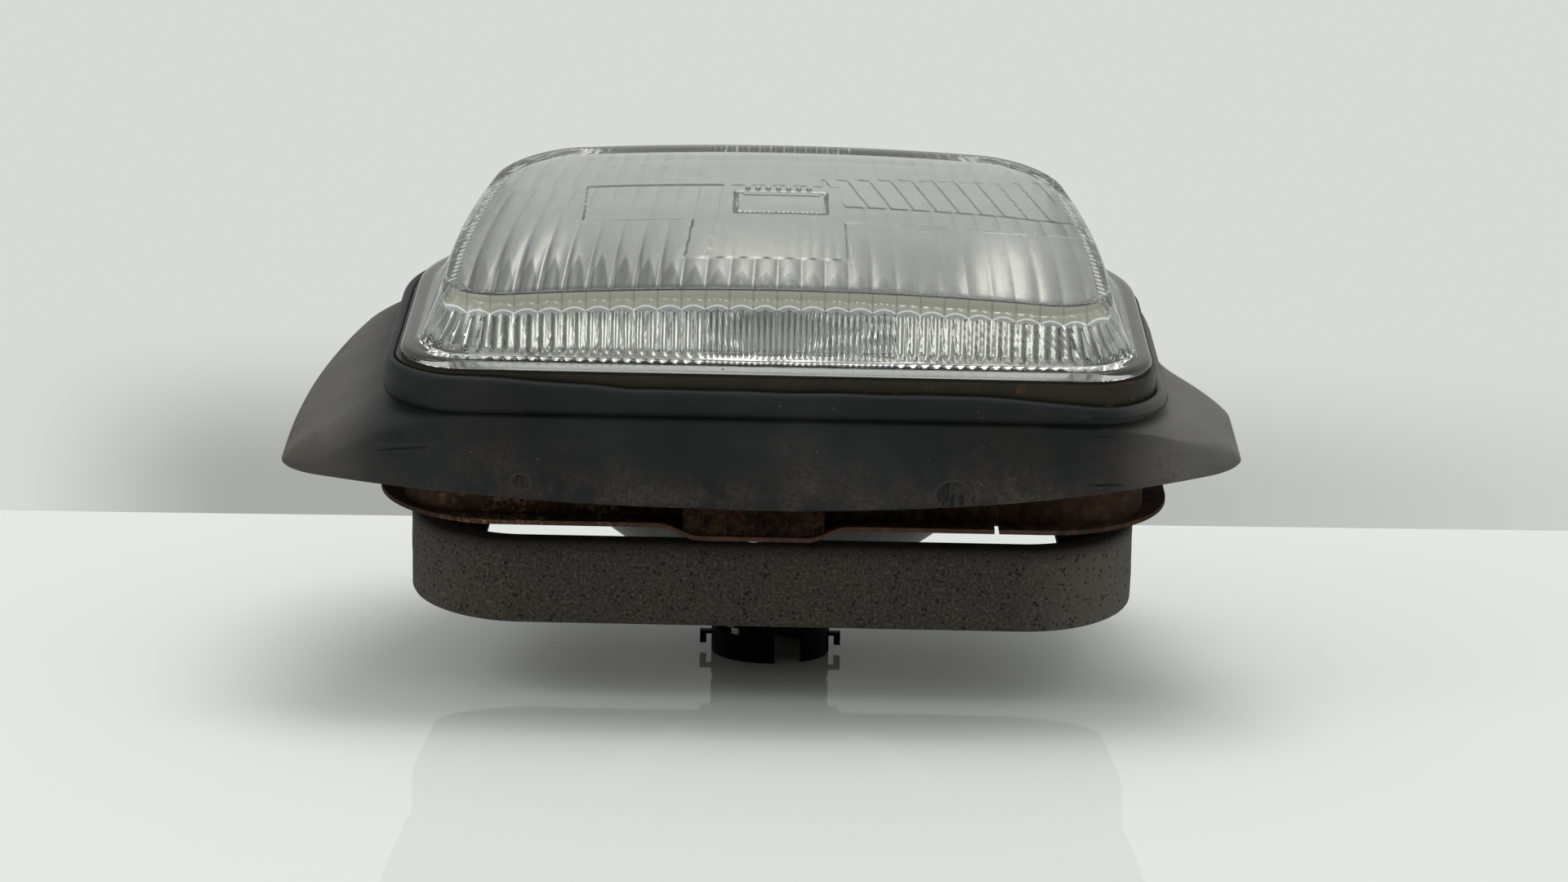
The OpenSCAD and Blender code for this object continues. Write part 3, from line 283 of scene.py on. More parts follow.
def wall_place(x, y):
    """How far along the wall a point stands, from the middle of the top side: x along it, an
    angle round the corner, y along the side, an angle round the next corner, and x again."""
    x = np.abs(x)
    run, side, radius = 70, -40, 17
    far_run, far_side, far_radius = 45, 25, 30
    first = radius * np.arctan2(np.maximum(x - run, 0), np.maximum(side - y, 0))
    second = far_radius * np.arctan2(np.maximum(y - far_side, 0), np.maximum(x - far_run, 0))
    near = np.where(y < side, np.minimum(x, run), run)
    far = np.where(y > far_side, far_run - np.minimum(x, far_run), 0)
    return near + first + np.clip(y, side, far_side) - side + second + far


def face_grid():
    """Places u across the face, in mm, even over its straight run and closer round the
    corners, and v down it, 0 to 1, with two near lines at every border between blocks."""
    run, corner = FACE[0] - FACE[3], FACE[3]
    swing = run + corner * np.sin(np.linspace(0, math.pi / 2, 49)[1:])
    across = np.concatenate([-swing[::-1], np.linspace(-run, run, 361), swing])
    borders = (np.array(BLOCK_LINES) - FACE[1]) / FACE_DEEP
    down = np.concatenate([np.linspace(0, 1, 135), borders - 0.002, borders + 0.002])
    return np.meshgrid(across, np.sort(down))


def outside_rings(u, v, top):
    """Rings from the face's border over the edge's round, down the wall and over the
    flange, and how far below the border each of their points lies."""
    rings, below = [], []
    for out, drop in ((0.25, 0.08), (0.6, 0.36), (0.9, 0.95), (1.1, 1.8), (1.3, ROUND_DROP)):
        rings.append(lifted(face_ring(u, v, out), top - drop))
        below.append(np.full(len(top), drop))
    last, foot = rings[-1][:, :2], lamp_ring(u, v, FOOT_INSET)
    fall = top - ROUND_DROP - GLASS_FLANGE_TOP - 1.1
    for share in (0.075, 0.1125, *np.linspace(0.2, 1, 6)):
        height = top - ROUND_DROP - fall * share
        rings.append(lifted(last + (foot - last) * share * 0.95, height))
        below.append(top - height)
    lip = ((0.2, 0.45), (0.9, 0.12), (2.2, 0.0), (3.9, -0.1))
    lip += ((4.55, -0.45), (4.8, -1.1), (4.8, -1.9), (4.4, -2.4))
    for grow, height in lip:
        rings.append(lifted(lamp_ring(u, v, FOOT_INSET - grow), GLASS_FLANGE_TOP + height))
        below.append(np.full(len(top), ON_FLANGE))
    return rings, below


def inside_rings(u, v, top, sizes):
    """Rings from the border of the face's inside down to the foot. They swing out in round
    grooves, fine ones in the middle of the top side, which fade in and out at both ends."""
    away = outward(top[:, :2])
    pitch, depth = FACE[0] / sizes.flutes, sizes.rib_depth / MM
    foot = lamp_ring(u, v, FOOT_INSET + sizes.wall / MM)
    rings = []
    for step in (0.05, 0.1, 0.18, 0.3, 0.45, 0.6, 0.72, 0.80, 0.86, 0.92, 1.0):
        ring = top[:, :2] + (foot - top[:, :2]) * step
        place = wall_place(*ring.T)
        fine = (ring[:, 1] < -45) & (ring[:, 0] > -MIDDLE_HALF) & (ring[:, 0] < FINE_RIGHT)
        groove = np.where(fine, 0.95 * arcs(place, pitch / 2), arcs(place, pitch))
        cut = depth * groove * ease(step, 0, 0.12) * (1 - ease(step, 0.8, 0.9))
        height = top[:, 2] + (GLASS_LOW - top[:, 2]) * step
        rings.append(lifted(ring + away * cut[:, None], height))
    return rings


def lens_points(sizes):
    """The lens as one closed shell. Outside: a smooth grid for the face, with rings from
    its border. Inside: a finer grid lowered by the face's thickness and raised by the
    relief, with rings from its border, joined to the outer ones at the foot. The mark
    below_face is how far an outside point lies below the face's border."""
    u, v = face_grid()
    thin, wall = 4, sizes.wall / MM
    uo, vo = u[::thin, ::thin], v[::thin, ::thin]
    above, flat, flat_o = face_ring(u, v, 0), face_ring(u, v, -wall), face_ring(uo, vo, 0)
    x, y = flat[..., 0], flat[..., 1]
    z = face_height(above[..., 0], above[..., 1]) - sizes.face / MM
    z = z + relief(u * (FACE[0] - wall) / FACE[0], x, y, sizes) + plate(x, y)
    inner = np.dstack([flat, z]).reshape(-1, 3)
    outer = np.dstack([flat_o, face_height(flat_o[..., 0], flat_o[..., 1])]).reshape(-1, 3)

    edge_o, edge_i = grid_border(*uo.shape), grid_border(*u.shape)
    rings_o, below = outside_rings(uo.ravel()[edge_o], vo.ravel()[edge_o], outer[edge_o][:, 2])
    rings_i = inside_rings(u.ravel()[edge_i], v.ravel()[edge_i], inner[edge_i], sizes)
    points = np.concatenate([outer, inner, *rings_o, *rings_i])
    n_o, n_i, first_i = len(edge_o), len(edge_i), len(outer)
    base_o = first_i + len(inner)
    base_i = base_o + n_o * len(rings_o)
    within = [np.full(count, INSIDE) for count in (len(inner), n_i * len(rings_i))]
    marks = np.concatenate([np.zeros(first_i), within[0], *below, within[1]])

    k = np.arange(n_o)
    ring_o, ring_i, in_edge = base_o + k, base_i + np.arange(n_i), first_i + edge_i
    last_o = ring_o + n_o * (len(rings_o) - 1)
    last_i = base_i + n_i * (len(rings_i) - 1) + (k[:, None] * thin + np.arange(thin + 1)) % n_i
    faces = [
        grid_faces(*uo.shape),
        grid_faces(*u.shape, first=first_i, flip=True),
        grid_faces(len(rings_o), n_o, close_columns=True, first=base_o, flip=True),
        grid_faces(len(rings_i), n_i, close_columns=True, first=base_i),
        np.stack([edge_o, ring_o, np.roll(ring_o, -1), np.roll(edge_o, -1)], -1),
        np.stack([np.roll(in_edge, -1), np.roll(ring_i, -1), ring_i, in_edge], -1),
        np.column_stack([last_o, last_i, np.roll(last_o, -1)]),
    ]
    return to_world(points), faces, {"below_face": marks}


# The reflector bowl


def bowl_height(r):
    """World height of the mirror at a distance from the axis: apex plus r squared over
    four focal lengths."""
    return BOWL_APEX + r * r / FOUR_FOCI


def wall_foot(outline, drop):
    """World points where upright raked walls meet the bowl, found by repeated steps:
    the height along the wall is set so that the point lies on the mirror."""
    z = np.full(len(outline), 60.0)
    for _ in range(25):
        world = to_world(lifted(outline, z))
        r = np.hypot(world[:, 0], world[:, 1])
        z = z + 0.7 * (bowl_height(r) - drop - world[:, 2])
    return to_world(lifted(outline, z)), z


def within_flange(outline, drop):
    """Moves the corners of a wall's outline towards the axis where the mirror would rise
    above the level there: s solves a s^2 - b s - c = 0 along the line from the axis."""
    level = 96.0
    middle = level * math.tan(RAKE)
    dx, dy = outline[:, 0], outline[:, 1] - middle
    a = (dx**2 + (dy * math.cos(RAKE)) ** 2) / FOUR_FOCI
    b = dy * math.sin(RAKE)
    c = level * math.cos(RAKE) + middle * math.sin(RAKE) - BOWL_APEX + drop
    s = np.minimum(1, (b + np.sqrt(b * b + 4 * a * c)) / (2 * a))
    return np.column_stack([dx * s, middle + dy * s])


def bowl_points():
    """The bowl as one closed sheet. Its section runs from the hole's edge up the mirror
    and the wall, out over the flange, and back down the outside. The mark silvered is 1
    on the mirror's side and 0 on the painted one."""
    count = (44, 30, 24)
    inner = within_flange(round_loop(BOWL_WALL, *count, grow=-BOWL_SHEET), 0)
    outer = within_flange(round_loop(BOWL_WALL, *count), BOWL_SHEET)
    lip = round_loop(BOWL_FLANGE, *count)
    foot_i, z_i = wall_foot(inner, 0)
    foot_o, z_o = wall_foot(outer, BOWL_SHEET)
    angle = np.arctan2(foot_i[:, 1], foot_i[:, 0])
    axis = np.stack([np.cos(angle), np.sin(angle)], -1)

    def ring(r, z):
        return lifted(axis * r, z)

    def mirror(foot, start, drop, shares):
        rows = []
        for t in shares:
            flat = axis * start * (1 - t) + foot[:, :2] * t
            r = np.hypot(flat[:, 0], flat[:, 1])
            rows.append(lifted(flat, bowl_height(r - drop) - drop))
        return rows

    def raked(loop, z):
        return to_world(lifted(loop, z))

    shares = np.linspace(0, 0.985, 26)
    away, edge = outward(inner), lip - outward(lip) * 0.4
    rows = [ring(13.5, 22.6), ring(17, 22.6), ring(22.0, 22.6), ring(22.7, 23.1)]
    rows += mirror(foot_i, 23.5, 0, shares)
    rows += [raked(inner, z_i + (96.6 - z_i) * t) for t in (0.04, 0.2, 0.4, 0.6, 0.8, 0.96)]
    rows += [raked(inner + away * 0.35, 97.4), raked(inner + away * 1.0, BOWL_TOP)]
    silvered = len(rows)
    rows += [raked(edge, BOWL_TOP), raked(lip, 97.3), raked(lip, 97.0), raked(edge, 96.8)]
    rows += [raked(outer + outward(outer) * 0.4, 96.8)]
    rows += [raked(outer, z_o + (96.4 - z_o) * t) for t in (1, 0.75, 0.5, 0.25, 0.04)]
    rows += mirror(foot_o, 24.4, BOWL_SHEET, shares[::-1])
    rows += [ring(23.3, 22.2), ring(22.6, 21.7), ring(17, 21.7), ring(13.5, 21.7)]
    faces = [grid_faces(len(rows), len(axis), close_rows=True, close_columns=True)]
    side = np.repeat(np.arange(len(rows)) < silvered, len(axis))
    return np.concatenate(rows), faces, {"silvered": side}


# The rubber surround


def hem(u, v):
    """The skirt's lower edge from places u across and v down the lamp, -1 to 1, as the
    part's source gives it: each side's reach shrinks with w, the share down the lamp, the
    near side turns down with the cube of u, and the height grows with w and with u."""
    w = (v + 1) / 2
    left = np.maximum(104.2, 128.5 - 28 * w**2.4)
    right = 104.2 + 18.3 * (1 - ease(w, 0.28, 0.66))
    x = u * np.where(u < 0, left, right)
    top = 3.1 + v * 82 + np.abs(u) ** 3 * np.where(u < 0, 9, 16) * -v
    y = np.where(v < 0, top, 3.1 + v * 74.2)
    lift = np.where(u < 0, 7, 10) * np.abs(u) ** 1.6 * (1 - w)
    z = 67.2 + lift + w * np.where(u < 0, 18, 14 + 4 * (1 - u))
    return np.stack([x, y, z], -1)


def crease(x, s, start, end, width, height):
    """A low fold along a line across the skirt: a bell curve across the line, in mm, which
    fades at both its ends. One unit of s is taken as 24 mm."""
    ax, ay, bx, by = start[0], start[1] * 24, end[0], end[1] * 24
    length = math.hypot(bx - ax, by - ay)
    dx, dy = (bx - ax) / length, (by - ay) / length
    along = (x - ax) * dx + (s * 24 - ay) * dy
    side = -(x - ax) * dy + (s * 24 - ay) * dx
    ends = ease(along, -width, width) * (1 - ease(along, length - width, length + width))
    return height * np.exp(-((side / width) ** 2)) * ends


def surround_points(sizes):
    """Bead and skirt as one closed sheet: a section of points at each place round the
    rim. The bead is a round roll with a groove under it, and the skirt runs straight from
    there to the hem, raised by a bow of 4 s (1 - s), soft waves and creases."""
    count = (110, 64, 26)
    rim = round_loop(RIM, *count)
    unit = round_loop((1, -1, 1, 0.06, (0.35, 0.5)), *count)
    away = outward(rim)
    edge = hem(unit[:, 0], unit[:, 1])
    low, tall = 85.7, 9.7
    rise = 3 * np.clip((-unit[:, 0] - 0.45) / 0.55, 0, 1) ** 0.7
    droop = 2.6 * ease(rim[:, 0], 48, 92) * (1 - ease(rim[:, 1], 10, 50))
    top = tall + rise - droop + 0.35 * ripple(rim[:, 0], rim[:, 1], 0, 70, 0.4)

    def ring(out, height):
        """Points so far out from the rim and so high over the bead's foot."""
        return lifted(rim + away * out, low + height)

    crown = ((0.3, 0), (0.8, 0.35), (1.7, 0.4), (2.5, 0.05), (3.0, -0.8), (3.35, -2.2))
    groove = ((3.4, 5.0), (3.05, 3.9), (2.3, 3.3), (1.9, 2.95), (2.3, 2.6))
    back = ((1.3, 0), (-0.4, 0.1), (-1.0, 0.6), (-1.0, 3.0), (0.3, 3.0), (0.3, tall * 0.65))
    roll = [ring(out, top + over) for out, over in crown]
    roll += [ring(3.55, top * 0.55 + 1.2), *[ring(*place) for place in groove]]
    hook = [ring(*place) for place in back]

    start = ring(3.2, 2.2)
    slope = edge - start
    slope = slope / np.linalg.norm(slope, axis=1, keepdims=True)
    level = np.linalg.norm(slope[:, :2], axis=1, keepdims=True)
    thick = sizes.skirt / MM
    steep = np.maximum(0.45, -slope[:, 2:3])
    inward = np.column_stack([-slope[:, :2] / np.maximum(level, 0.05) * steep, -level]) * thick
    shares = np.linspace(0, 1, 34)[:, None, None]
    sheet = start + (edge - start) * shares
    sheet[..., 2] += 4 * sizes.bow / MM * (shares * (1 - shares))[..., 0]
    x, y, s = sheet[..., 0], sheet[..., 1], shares[..., 0]
    folds = (
        ((-104, 0.52), (-88, 0.47), 1.6, -1.1),
        ((68, 0.66), (100, 0.52), 2.0, -1.3),
        ((92, 0.35), (122, 0.9), 3.0, 1.0),
        ((-118, 0.6), (-126, 0.98), 3.0, 0.9),
    )
    lift = sum(crease(x, s, *fold) for fold in folds) * (1 - ease(y, -62, -40))
    lift = lift + 0.8 * ripple(x, y, 0, 85, 1.7) * ease(s, 0, 0.5)
    lift = lift * ease(1 - s, -0.02, 0.06)
    sheet = sheet - inward / thick * lift[..., None]
    under = (sheet + inward)[::-3][:-1]
    grid = np.stack([*roll, *sheet, sheet[-1] + inward * 0.5 + slope * 0.25, *under, *hook])
    faces = [grid_faces(len(grid), len(rim), close_rows=True, close_columns=True, flip=True)]
    return to_world(grid).reshape(-1, 3), faces, {}


# The sponge band


def band_points(sizes):
    """A closed band: a round-edged rectangular section carried round the loop, with its
    faces swollen and dented by waves of several lengths."""
    thick, height, soft = 6.0, 23.2, 1.3
    loop = round_loop(BAND, 150, 60, 60)
    away = outward(loop)
    turn = np.linspace(0, math.pi / 2, 5)
    corners = ((0, 1, math.pi / 2), (0, 0, 0), (1, 0, -math.pi / 2), (1, 1, math.pi))
    section = []
    for inside, top, start in corners:
        cx = soft - thick if inside else -soft
        cz = height - soft if top else soft
        way = start - turn
        section.append(np.stack([cx + soft * np.cos(way), cz + soft * np.sin(way)], -1))
    out_side = np.linspace(section[0][-1], section[1][0], 16)[1:-1]
    in_side = np.linspace(section[2][-1], section[3][0], 12)[1:-1]
    path = np.concatenate([section[0], out_side, section[1], section[2], in_side, section[3]])
    out, rise = path[:, :1], path[:, 1:]
    x = loop[:, 0] + away[:, 0] * out
    y = loop[:, 1] + away[:, 1] * out
    z = BAND_LOW + rise + 0 * x
    push = sizes.dents / MM * (0.6 * ripple(x, y, z, 26, 0.3) + 0.4 * ripple(x, y, z, 7, 2.2))
    face = np.where(np.abs(out + thick / 2) > 2.6, np.sign(out + thick / 2), 0)
    grid = np.stack([x + away[:, 0] * push * face, y + away[:, 1] * push * face, z], -1)
    faces = [grid_faces(len(path), len(loop), close_rows=True, close_columns=True, flip=True)]
    return to_world(grid).reshape(-1, 3), faces, {}


# Shader maths


class Value:
    """A node's output with Python's operators, so shader maths is written as it reads."""

    def __init__(self, tree, socket):
        self.tree, self.socket = tree, socket

    def maths(self, operation, *others):
        inputs = dict(enumerate((self, *others)))
        return self.tree.node("ShaderNodeMath", {"operation": operation}, inputs)

    def __add__(self, other):
        return self.maths("ADD", other)

    def __sub__(self, other):
        return self.maths("SUBTRACT", other)

    def __mul__(self, other):
        return self.maths("MULTIPLY", other)

    def __truediv__(self, other):
        return self.maths("DIVIDE", other)

    def __pow__(self, other):
        return self.maths("POWER", other)

    def __rsub__(self, other):
        return (self * -1) + other

    __radd__ = __add__
    __rmul__ = __mul__

    def between(self, low, high, first=0.0, last=1.0):
        """The first number below low, the last above high, and a smooth run from one to
        the other."""
        inputs = {0: self, 1: low, 2: high, 3: first, 4: last}
        return self.tree.node("ShaderNodeMapRange", {"interpolation_type": "SMOOTHSTEP"}, inputs)


class Tree:
    """The node tree of a material or a world under construction."""

    def __init__(self, owner):
        owner.use_nodes = True
        self.owner, self.nodes, self.links = owner, owner.node_tree.nodes, owner.node_tree.links
        self.nodes.clear()

    def node(self, kind, settings=None, inputs=None, output=0):
        """Adds any node: its settings first, then values or links for its sockets."""
        made = self.nodes.new(kind)
        for key, value in (settings or {}).items():
            if key == "stops":
                elements = made.color_ramp.elements
                while len(elements) < len(value):
                    elements.new(0.5)
                for element, (position, colour) in zip(elements, value):
                    element.position, element.color = position, (*colour, 1)
            else:
                setattr(made, key, value)
        for key, value in (inputs or {}).items():
            if isinstance(value, Value):
                self.links.new(value.socket, made.inputs[key])
            else:
                made.inputs[key].default_value = value
        return Value(self, made.outputs[output]) if made.outputs else None

    def parts(self, vector):
        """The three numbers of a vector."""
        return [self.node("ShaderNodeSeparateXYZ", None, {0: vector}, k) for k in range(3)]

    def mix(self, factor, *colours):
        """One colour fading into another."""
        first, second = [c if isinstance(c, Value) else (*c, 1) for c in colours]
        inputs = {0: factor, 6: first, 7: second}
        return self.node("ShaderNodeMix", {"data_type": "RGBA"}, inputs, 2)

    def layers(self, colour, *coats):
        """A colour under coats, each with a factor and a colour of its own."""
        for factor, coat in coats:
            colour = self.mix(factor, colour, coat)
        return colour

    def blend(self, factor, first, second):
        """One shader showing through another."""
        return self.node("ShaderNodeMixShader", None, {0: factor, 1: first, 2: second})

    def done(self, shader, end="ShaderNodeOutputMaterial"):
        """Ends the tree and gives its owner."""
        self.node(end, None, {"Surface": shader})
        return self.owner


class Finish(Tree):
    """A material under construction. place is the raked place in millimetres."""

    def __init__(self, name):
        super().__init__(bpy.data.materials.new(name))
        seat = self.node("ShaderNodeTexCoord", output="Object")
        inputs = {"Vector": seat, "Rotation": (-RAKE, 0, 0), "Scale": (1000, 1000, 1000)}
        self.place = self.node("ShaderNodeMapping", {"vector_type": "POINT"}, inputs)

    def mark(self, name):
        """A number that a piece's points carry."""
        return self.node("ShaderNodeAttribute", {"attribute_name": name}, None, 2)

    def noise(self, size, detail=3.0, rough=0.55, stretch=None, warp=0.0):
        """Cloudy noise from 0 to 1 whose lumps are about size millimetres."""
        where = self.place
        if stretch:
            inputs = {0: where, 1: stretch}
            where = self.node("ShaderNodeVectorMath", {"operation": "MULTIPLY"}, inputs)
        inputs = {"Vector": where, "Scale": 1 / size, "Detail": detail}
        inputs |= {"Roughness": rough, "Distortion": warp}
        return self.node("ShaderNodeTexNoise", None, inputs)

    def cells(self, size):
        """Distance from scattered points about size millimetres apart."""
        return self.node("ShaderNodeTexVoronoi", None, {"Vector": self.place, "Scale": 1 / size})

    def ramp(self, factor, *stops):
        """A colour by the place of a number among stops."""
        return self.node("ShaderNodeValToRGB", {"stops": stops}, {0: factor})

    def bump(self, height, distance_mm, strength):
        """A normal that tilts with a height from 0 to 1, as deep as distance_mm."""
        inputs = {"Height": height, "Distance": distance_mm * MM, "Strength": strength}
        return self.node("ShaderNodeBump", None, inputs)

    def surface(self, **sockets):
        """The main shader, with its sockets named by words joined by underscores."""
        inputs = {key.replace("_", " "): value for key, value in sockets.items()}
        if not isinstance(inputs["Base Color"], Value):
            inputs["Base Color"] = (*inputs["Base Color"], 1)
        return self.node("ShaderNodeBsdfPrincipled", None, inputs)

    def whole(self, **sockets):
        """Ends the tree with the main shader alone."""
        return self.done(self.surface(**sockets))


def most(values):
    """The largest of several node outputs."""
    top = values[0]
    for value in values[1:]:
        top = top.maths("MAXIMUM", value)
    return top


def paint(material, *names):
    """Gives a material to CAD nodes, in place of what they had."""
    for name in names:
        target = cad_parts[name]
        if not target.data.materials:
            target.data.materials.append(material)
        for slot in target.material_slots:
            slot.material = material


# Finishes


def pressed_glass(colours):
    """Clear glass with a faint green, light haze, scratches and specks of dirt. What the
    real glass shows by refraction is painted into its colour, by the place on the lens
    and the depth below the face's border: dark teardrops of painted shade at the flutes'
    feet, a painted olive band along the edge of the top side, with painted dark grey
    shade along the edge at the sides and back, a painted highlight of bright scallops
    under the band, a wall painted grey at its ends, and painted dark lines along the fine
    grooves in the middle of the wall."""
    f = Finish("pressed_glass")
    haze, grain, patch = f.noise(9, 4, 0.6), f.noise(0.8, 3), f.noise(14, 3)
    scratch = f.noise(0.5, 2, 0.5, stretch=(0.03, 1.0, 1.0), warp=0.4)
    dirt = (1 - f.cells(5.5).between(0.035, 0.06)) * patch.between(0.48, 0.56)
    x, y, z = f.parts(f.place)
    below = f.mark("below_face")
    inside = below.between(INSIDE - 9, INSIDE - 4)
    rough = 0.02 + haze.between(0.5, 0.85) * 0.10 + scratch.between(0.66, 0.8) * 0.12
    rough = rough + inside * (0.06 + z.between(108, 112) * 0.10)

    joint = ((x / FLUTE_PITCH).maths("FRACT") - 0.5).maths("ABSOLUTE") * 2
    # Painted shade: dark teardrops at the feet of the flutes along the top side, strongest left of
    # the middle, as the flutes show shade by refraction.
    rise = (y + 56) / (30 - x.between(-48, -4) * 17 - x.between(8, 70) * 6)
    painted_teardrop_shade = (0.88 - rise * rise - joint).between(0, 0.25) * y.between(-56.6, -55.8)
    drop = painted_teardrop_shade * (1 - x.between(-30, 60) * 0.75) * (0.5 + x.between(-84, -62) * 0.5)
    # Painted refraction: the wall is painted grey, but lighter in the middle of the top side, where
    # dark lines are painted along the fine grooves.
    wall = below.between(5, 7) * (1 - below.between(ON_FLANGE - 10, ON_FLANGE - 2))
    fine = ((x / (FLUTE_PITCH / 4)).maths("FRACT") - 0.5).maths("ABSOLUTE").between(0.1, 0.4)
    middle = x.between(-20, -17) * (1 - x.between(29.5, 32.5)) * (1 - y.between(-50, -45))
    # The glass's own colour under painted teardrops of shade, a wall painted grey, and painted dark
    # lines on the fine grooves.
    glass_tint_and_painted_refraction = f.layers(
        colours.glass,
        (drop, (0.23, 0.24, 0.235)),
        (wall, f.mix(middle, (0.66, 0.67, 0.665), (0.95, 0.955, 0.95))),
        (wall * fine * middle, (0.26, 0.265, 0.27)),
    )
    glass = f.surface(
        Base_Color=glass_tint_and_painted_refraction,
        Roughness=rough,
        IOR=1.5,
        Transmission_Weight=1.0,
        Normal=f.bump(haze + grain * 0.12, 0.03, 0.5),
    )
    grime = f.surface(Base_Color=(0.05, 0.04, 0.03), Roughness=0.8)

    side = y.between(-53, -45)
    arch = 4.1 + joint * joint * (1 - side) * 1.1 - (y / 1.9).maths("FRACT") * 1.1 * side
    lobe = (joint * 2 - 1).maths("ABSOLUTE")
    past = below - arch
    # Painted refraction: a band just below the face's border is painted olive, with dark lines at
    # the flute joints, on the top side, and painted dark grey shade at the sides and back.
    edge = below.between(0.3, 0.8) * (1 - past.between(-0.1, 0.1))
    # Painted highlight: bright scallops just below the painted band, on the top side only.
    lit = past.between(-0.1, 0.1) * (1 - (below + lobe * 0.8).between(5.9, 6.2)) * (1 - side)
    olive = f.mix(joint.between(0.86, 1.0) * 0.4, colours.edge, (0.13, 0.13, 0.10))
    thick = f.surface(Base_Color=olive, Roughness=0.3)
    dark = f.surface(Base_Color=(0.12, 0.124, 0.115), Roughness=0.6, Specular_IOR_Level=0.0)
    ridge = f.mix(past.between(0.35, 0.6), (1.0, 1.0, 0.98), (0.44, 0.45, 0.43))
    bright = f.surface(Base_Color=ridge, Roughness=0.2)
    clear = f.blend(lit * 0.85, f.blend(dirt, glass, grime), bright)
    return f.done(f.blend(edge * (0.8 - side * 0.2), clear, f.blend(side, thick, dark)))


def mirror_bowl():
    """A silvered inside, hazy here and there, and a pale grey painted outside, parted by
    the mark that the bowl's points carry."""
    f = Finish("mirror_bowl")
    haze, spots, stain = f.noise(22, 4, 0.6), f.noise(2.2, 4, 0.7), f.noise(7, 5, 0.65)
    dull = haze.between(0.45, 0.75) * 0.18 + spots.between(0.62, 0.75) * 0.15
    tarnish = f.mix(dull * 2.0, (0.82, 0.82, 0.80), (0.62, 0.61, 0.58))
    silver = f.surface(Base_Color=tarnish, Metallic=1.0, Roughness=0.17 + dull)
    pale, grey, brown = (0.30, 0.29, 0.28), (0.38, 0.38, 0.37), (0.22, 0.17, 0.13)
    painted = f.surface(
        Base_Color=f.ramp(stain, (0.3, pale), (0.55, grey), (0.75, brown)),
        Metallic=0.35,
        Roughness=0.45,
        Normal=f.bump(f.noise(1.2, 3), 0.03, 0.5),
    )
    return f.done(f.blend(f.mark("silvered").between(0.45, 0.55), painted, silver))


def old_rubber(colours):
    """Charcoal rubber: brown dust low down and in patches, pale specks, faint flow lines,
    two pressed round marks with small slits and a painted highlight round each rim, two
    cuts, and both ends of the skirt painted lighter, partly as light from the sides and
    partly as dust."""
    f = Finish("old_rubber")
    x, y, z = f.parts(f.place)
    cloud, fine = f.noise(28, 5, 0.6), f.noise(1.1, 4, 0.65)
    dust = cloud.between(0.47, 0.72) * (1 - z.between(72, 90) * 0.75)
    hem_dust = (1 - z.between(67, 80)) * f.noise(9, 5, 0.65).between(0.40, 0.6) * 0.8
    dusty = (dust + hem_dust) * (0.25 + fine.between(0.38, 0.64) * 0.75)
    # Painted light and dust: both ends of the skirt are made lighter and greyer, the right one
    # more, partly as light from the sides and partly as dust.
    lit_dusty_tips = x.between(86, 108) + (1 - x.between(-118, -98))
    grey = f.mix(x.between(-20, 20), (0.092, 0.087, 0.079), (0.15, 0.145, 0.134))
    pale = (1 - f.cells(4.2).between(0.03, 0.055)) * f.noise(9, 2).between(0.50, 0.6)
    height = f.noise(0.5, 3, 0.6) * 0.25 + f.noise(5, 4, 0.55) * 0.6
    height = height + f.noise(1.4, 2, 0.5, stretch=(0.12, 1.0, 1.0)) * 0.4

    slits, rings = [], []
    front = 1 - y.between(-60, -55)
    for cx, cz, radius in ((-65.5, 72.6, 2.6), (46.5, 71.6, 4.6)):
        dx, dz = x - cx, (z - cz) * 1.35
        far = (dx * dx + dz * dz) ** 0.5
        disc = (1 - far.between(radius * 0.8, radius)) * front
        ridge = f.noise(1.1, 2, 0.5, stretch=(1.0, 0.3, 0.35), warp=1.5)
        slits.append(ridge.between(0.56, 0.60) * disc)
        rings.append((1 - (far - radius).maths("ABSOLUTE").between(0.15, 0.6)) * front)
        height = height - disc * 0.9 + rings[-1] * 0.9
    for start, end, level, tilt in ((-105, -87, 78.6, 0.11), (79, 93, 73.8, 0.0)):
        off = (z - level - (x - start) * tilt).maths("ABSOLUTE")
        ends = x.between(start, start + 6) * (1 - x.between(end - 6, end))
        slits.append((1 - off.between(0.1, 0.5)) * ends * (1 - y.between(-60, -50)))
    ring, slit = most(rings), most(slits)
    tone = f.layers(
        colours.rubber,
        (f.noise(60, 3).between(0.35, 0.65), (0.013, 0.0145, 0.0155)),
        (lit_dusty_tips * (0.5 + cloud * 0.5), grey),
        (dusty * 0.75, colours.dust),
        (pale * 0.7, (0.22, 0.20, 0.17)),
        # Painted highlight round the rims of the pressed marks.
        (ring * (0.25 + fine * 0.4), (0.046, 0.041, 0.036)),
        (slit * 0.95, (0.001, 0.001, 0.001)),
    )
    return f.whole(
        Base_Color=tone,
        Roughness=0.50 + dusty * 0.35 + fine * 0.08,
        Specular_IOR_Level=0.2,
        Normal=f.bump(height - slit * 2.2, 0.22, 0.8),
    )


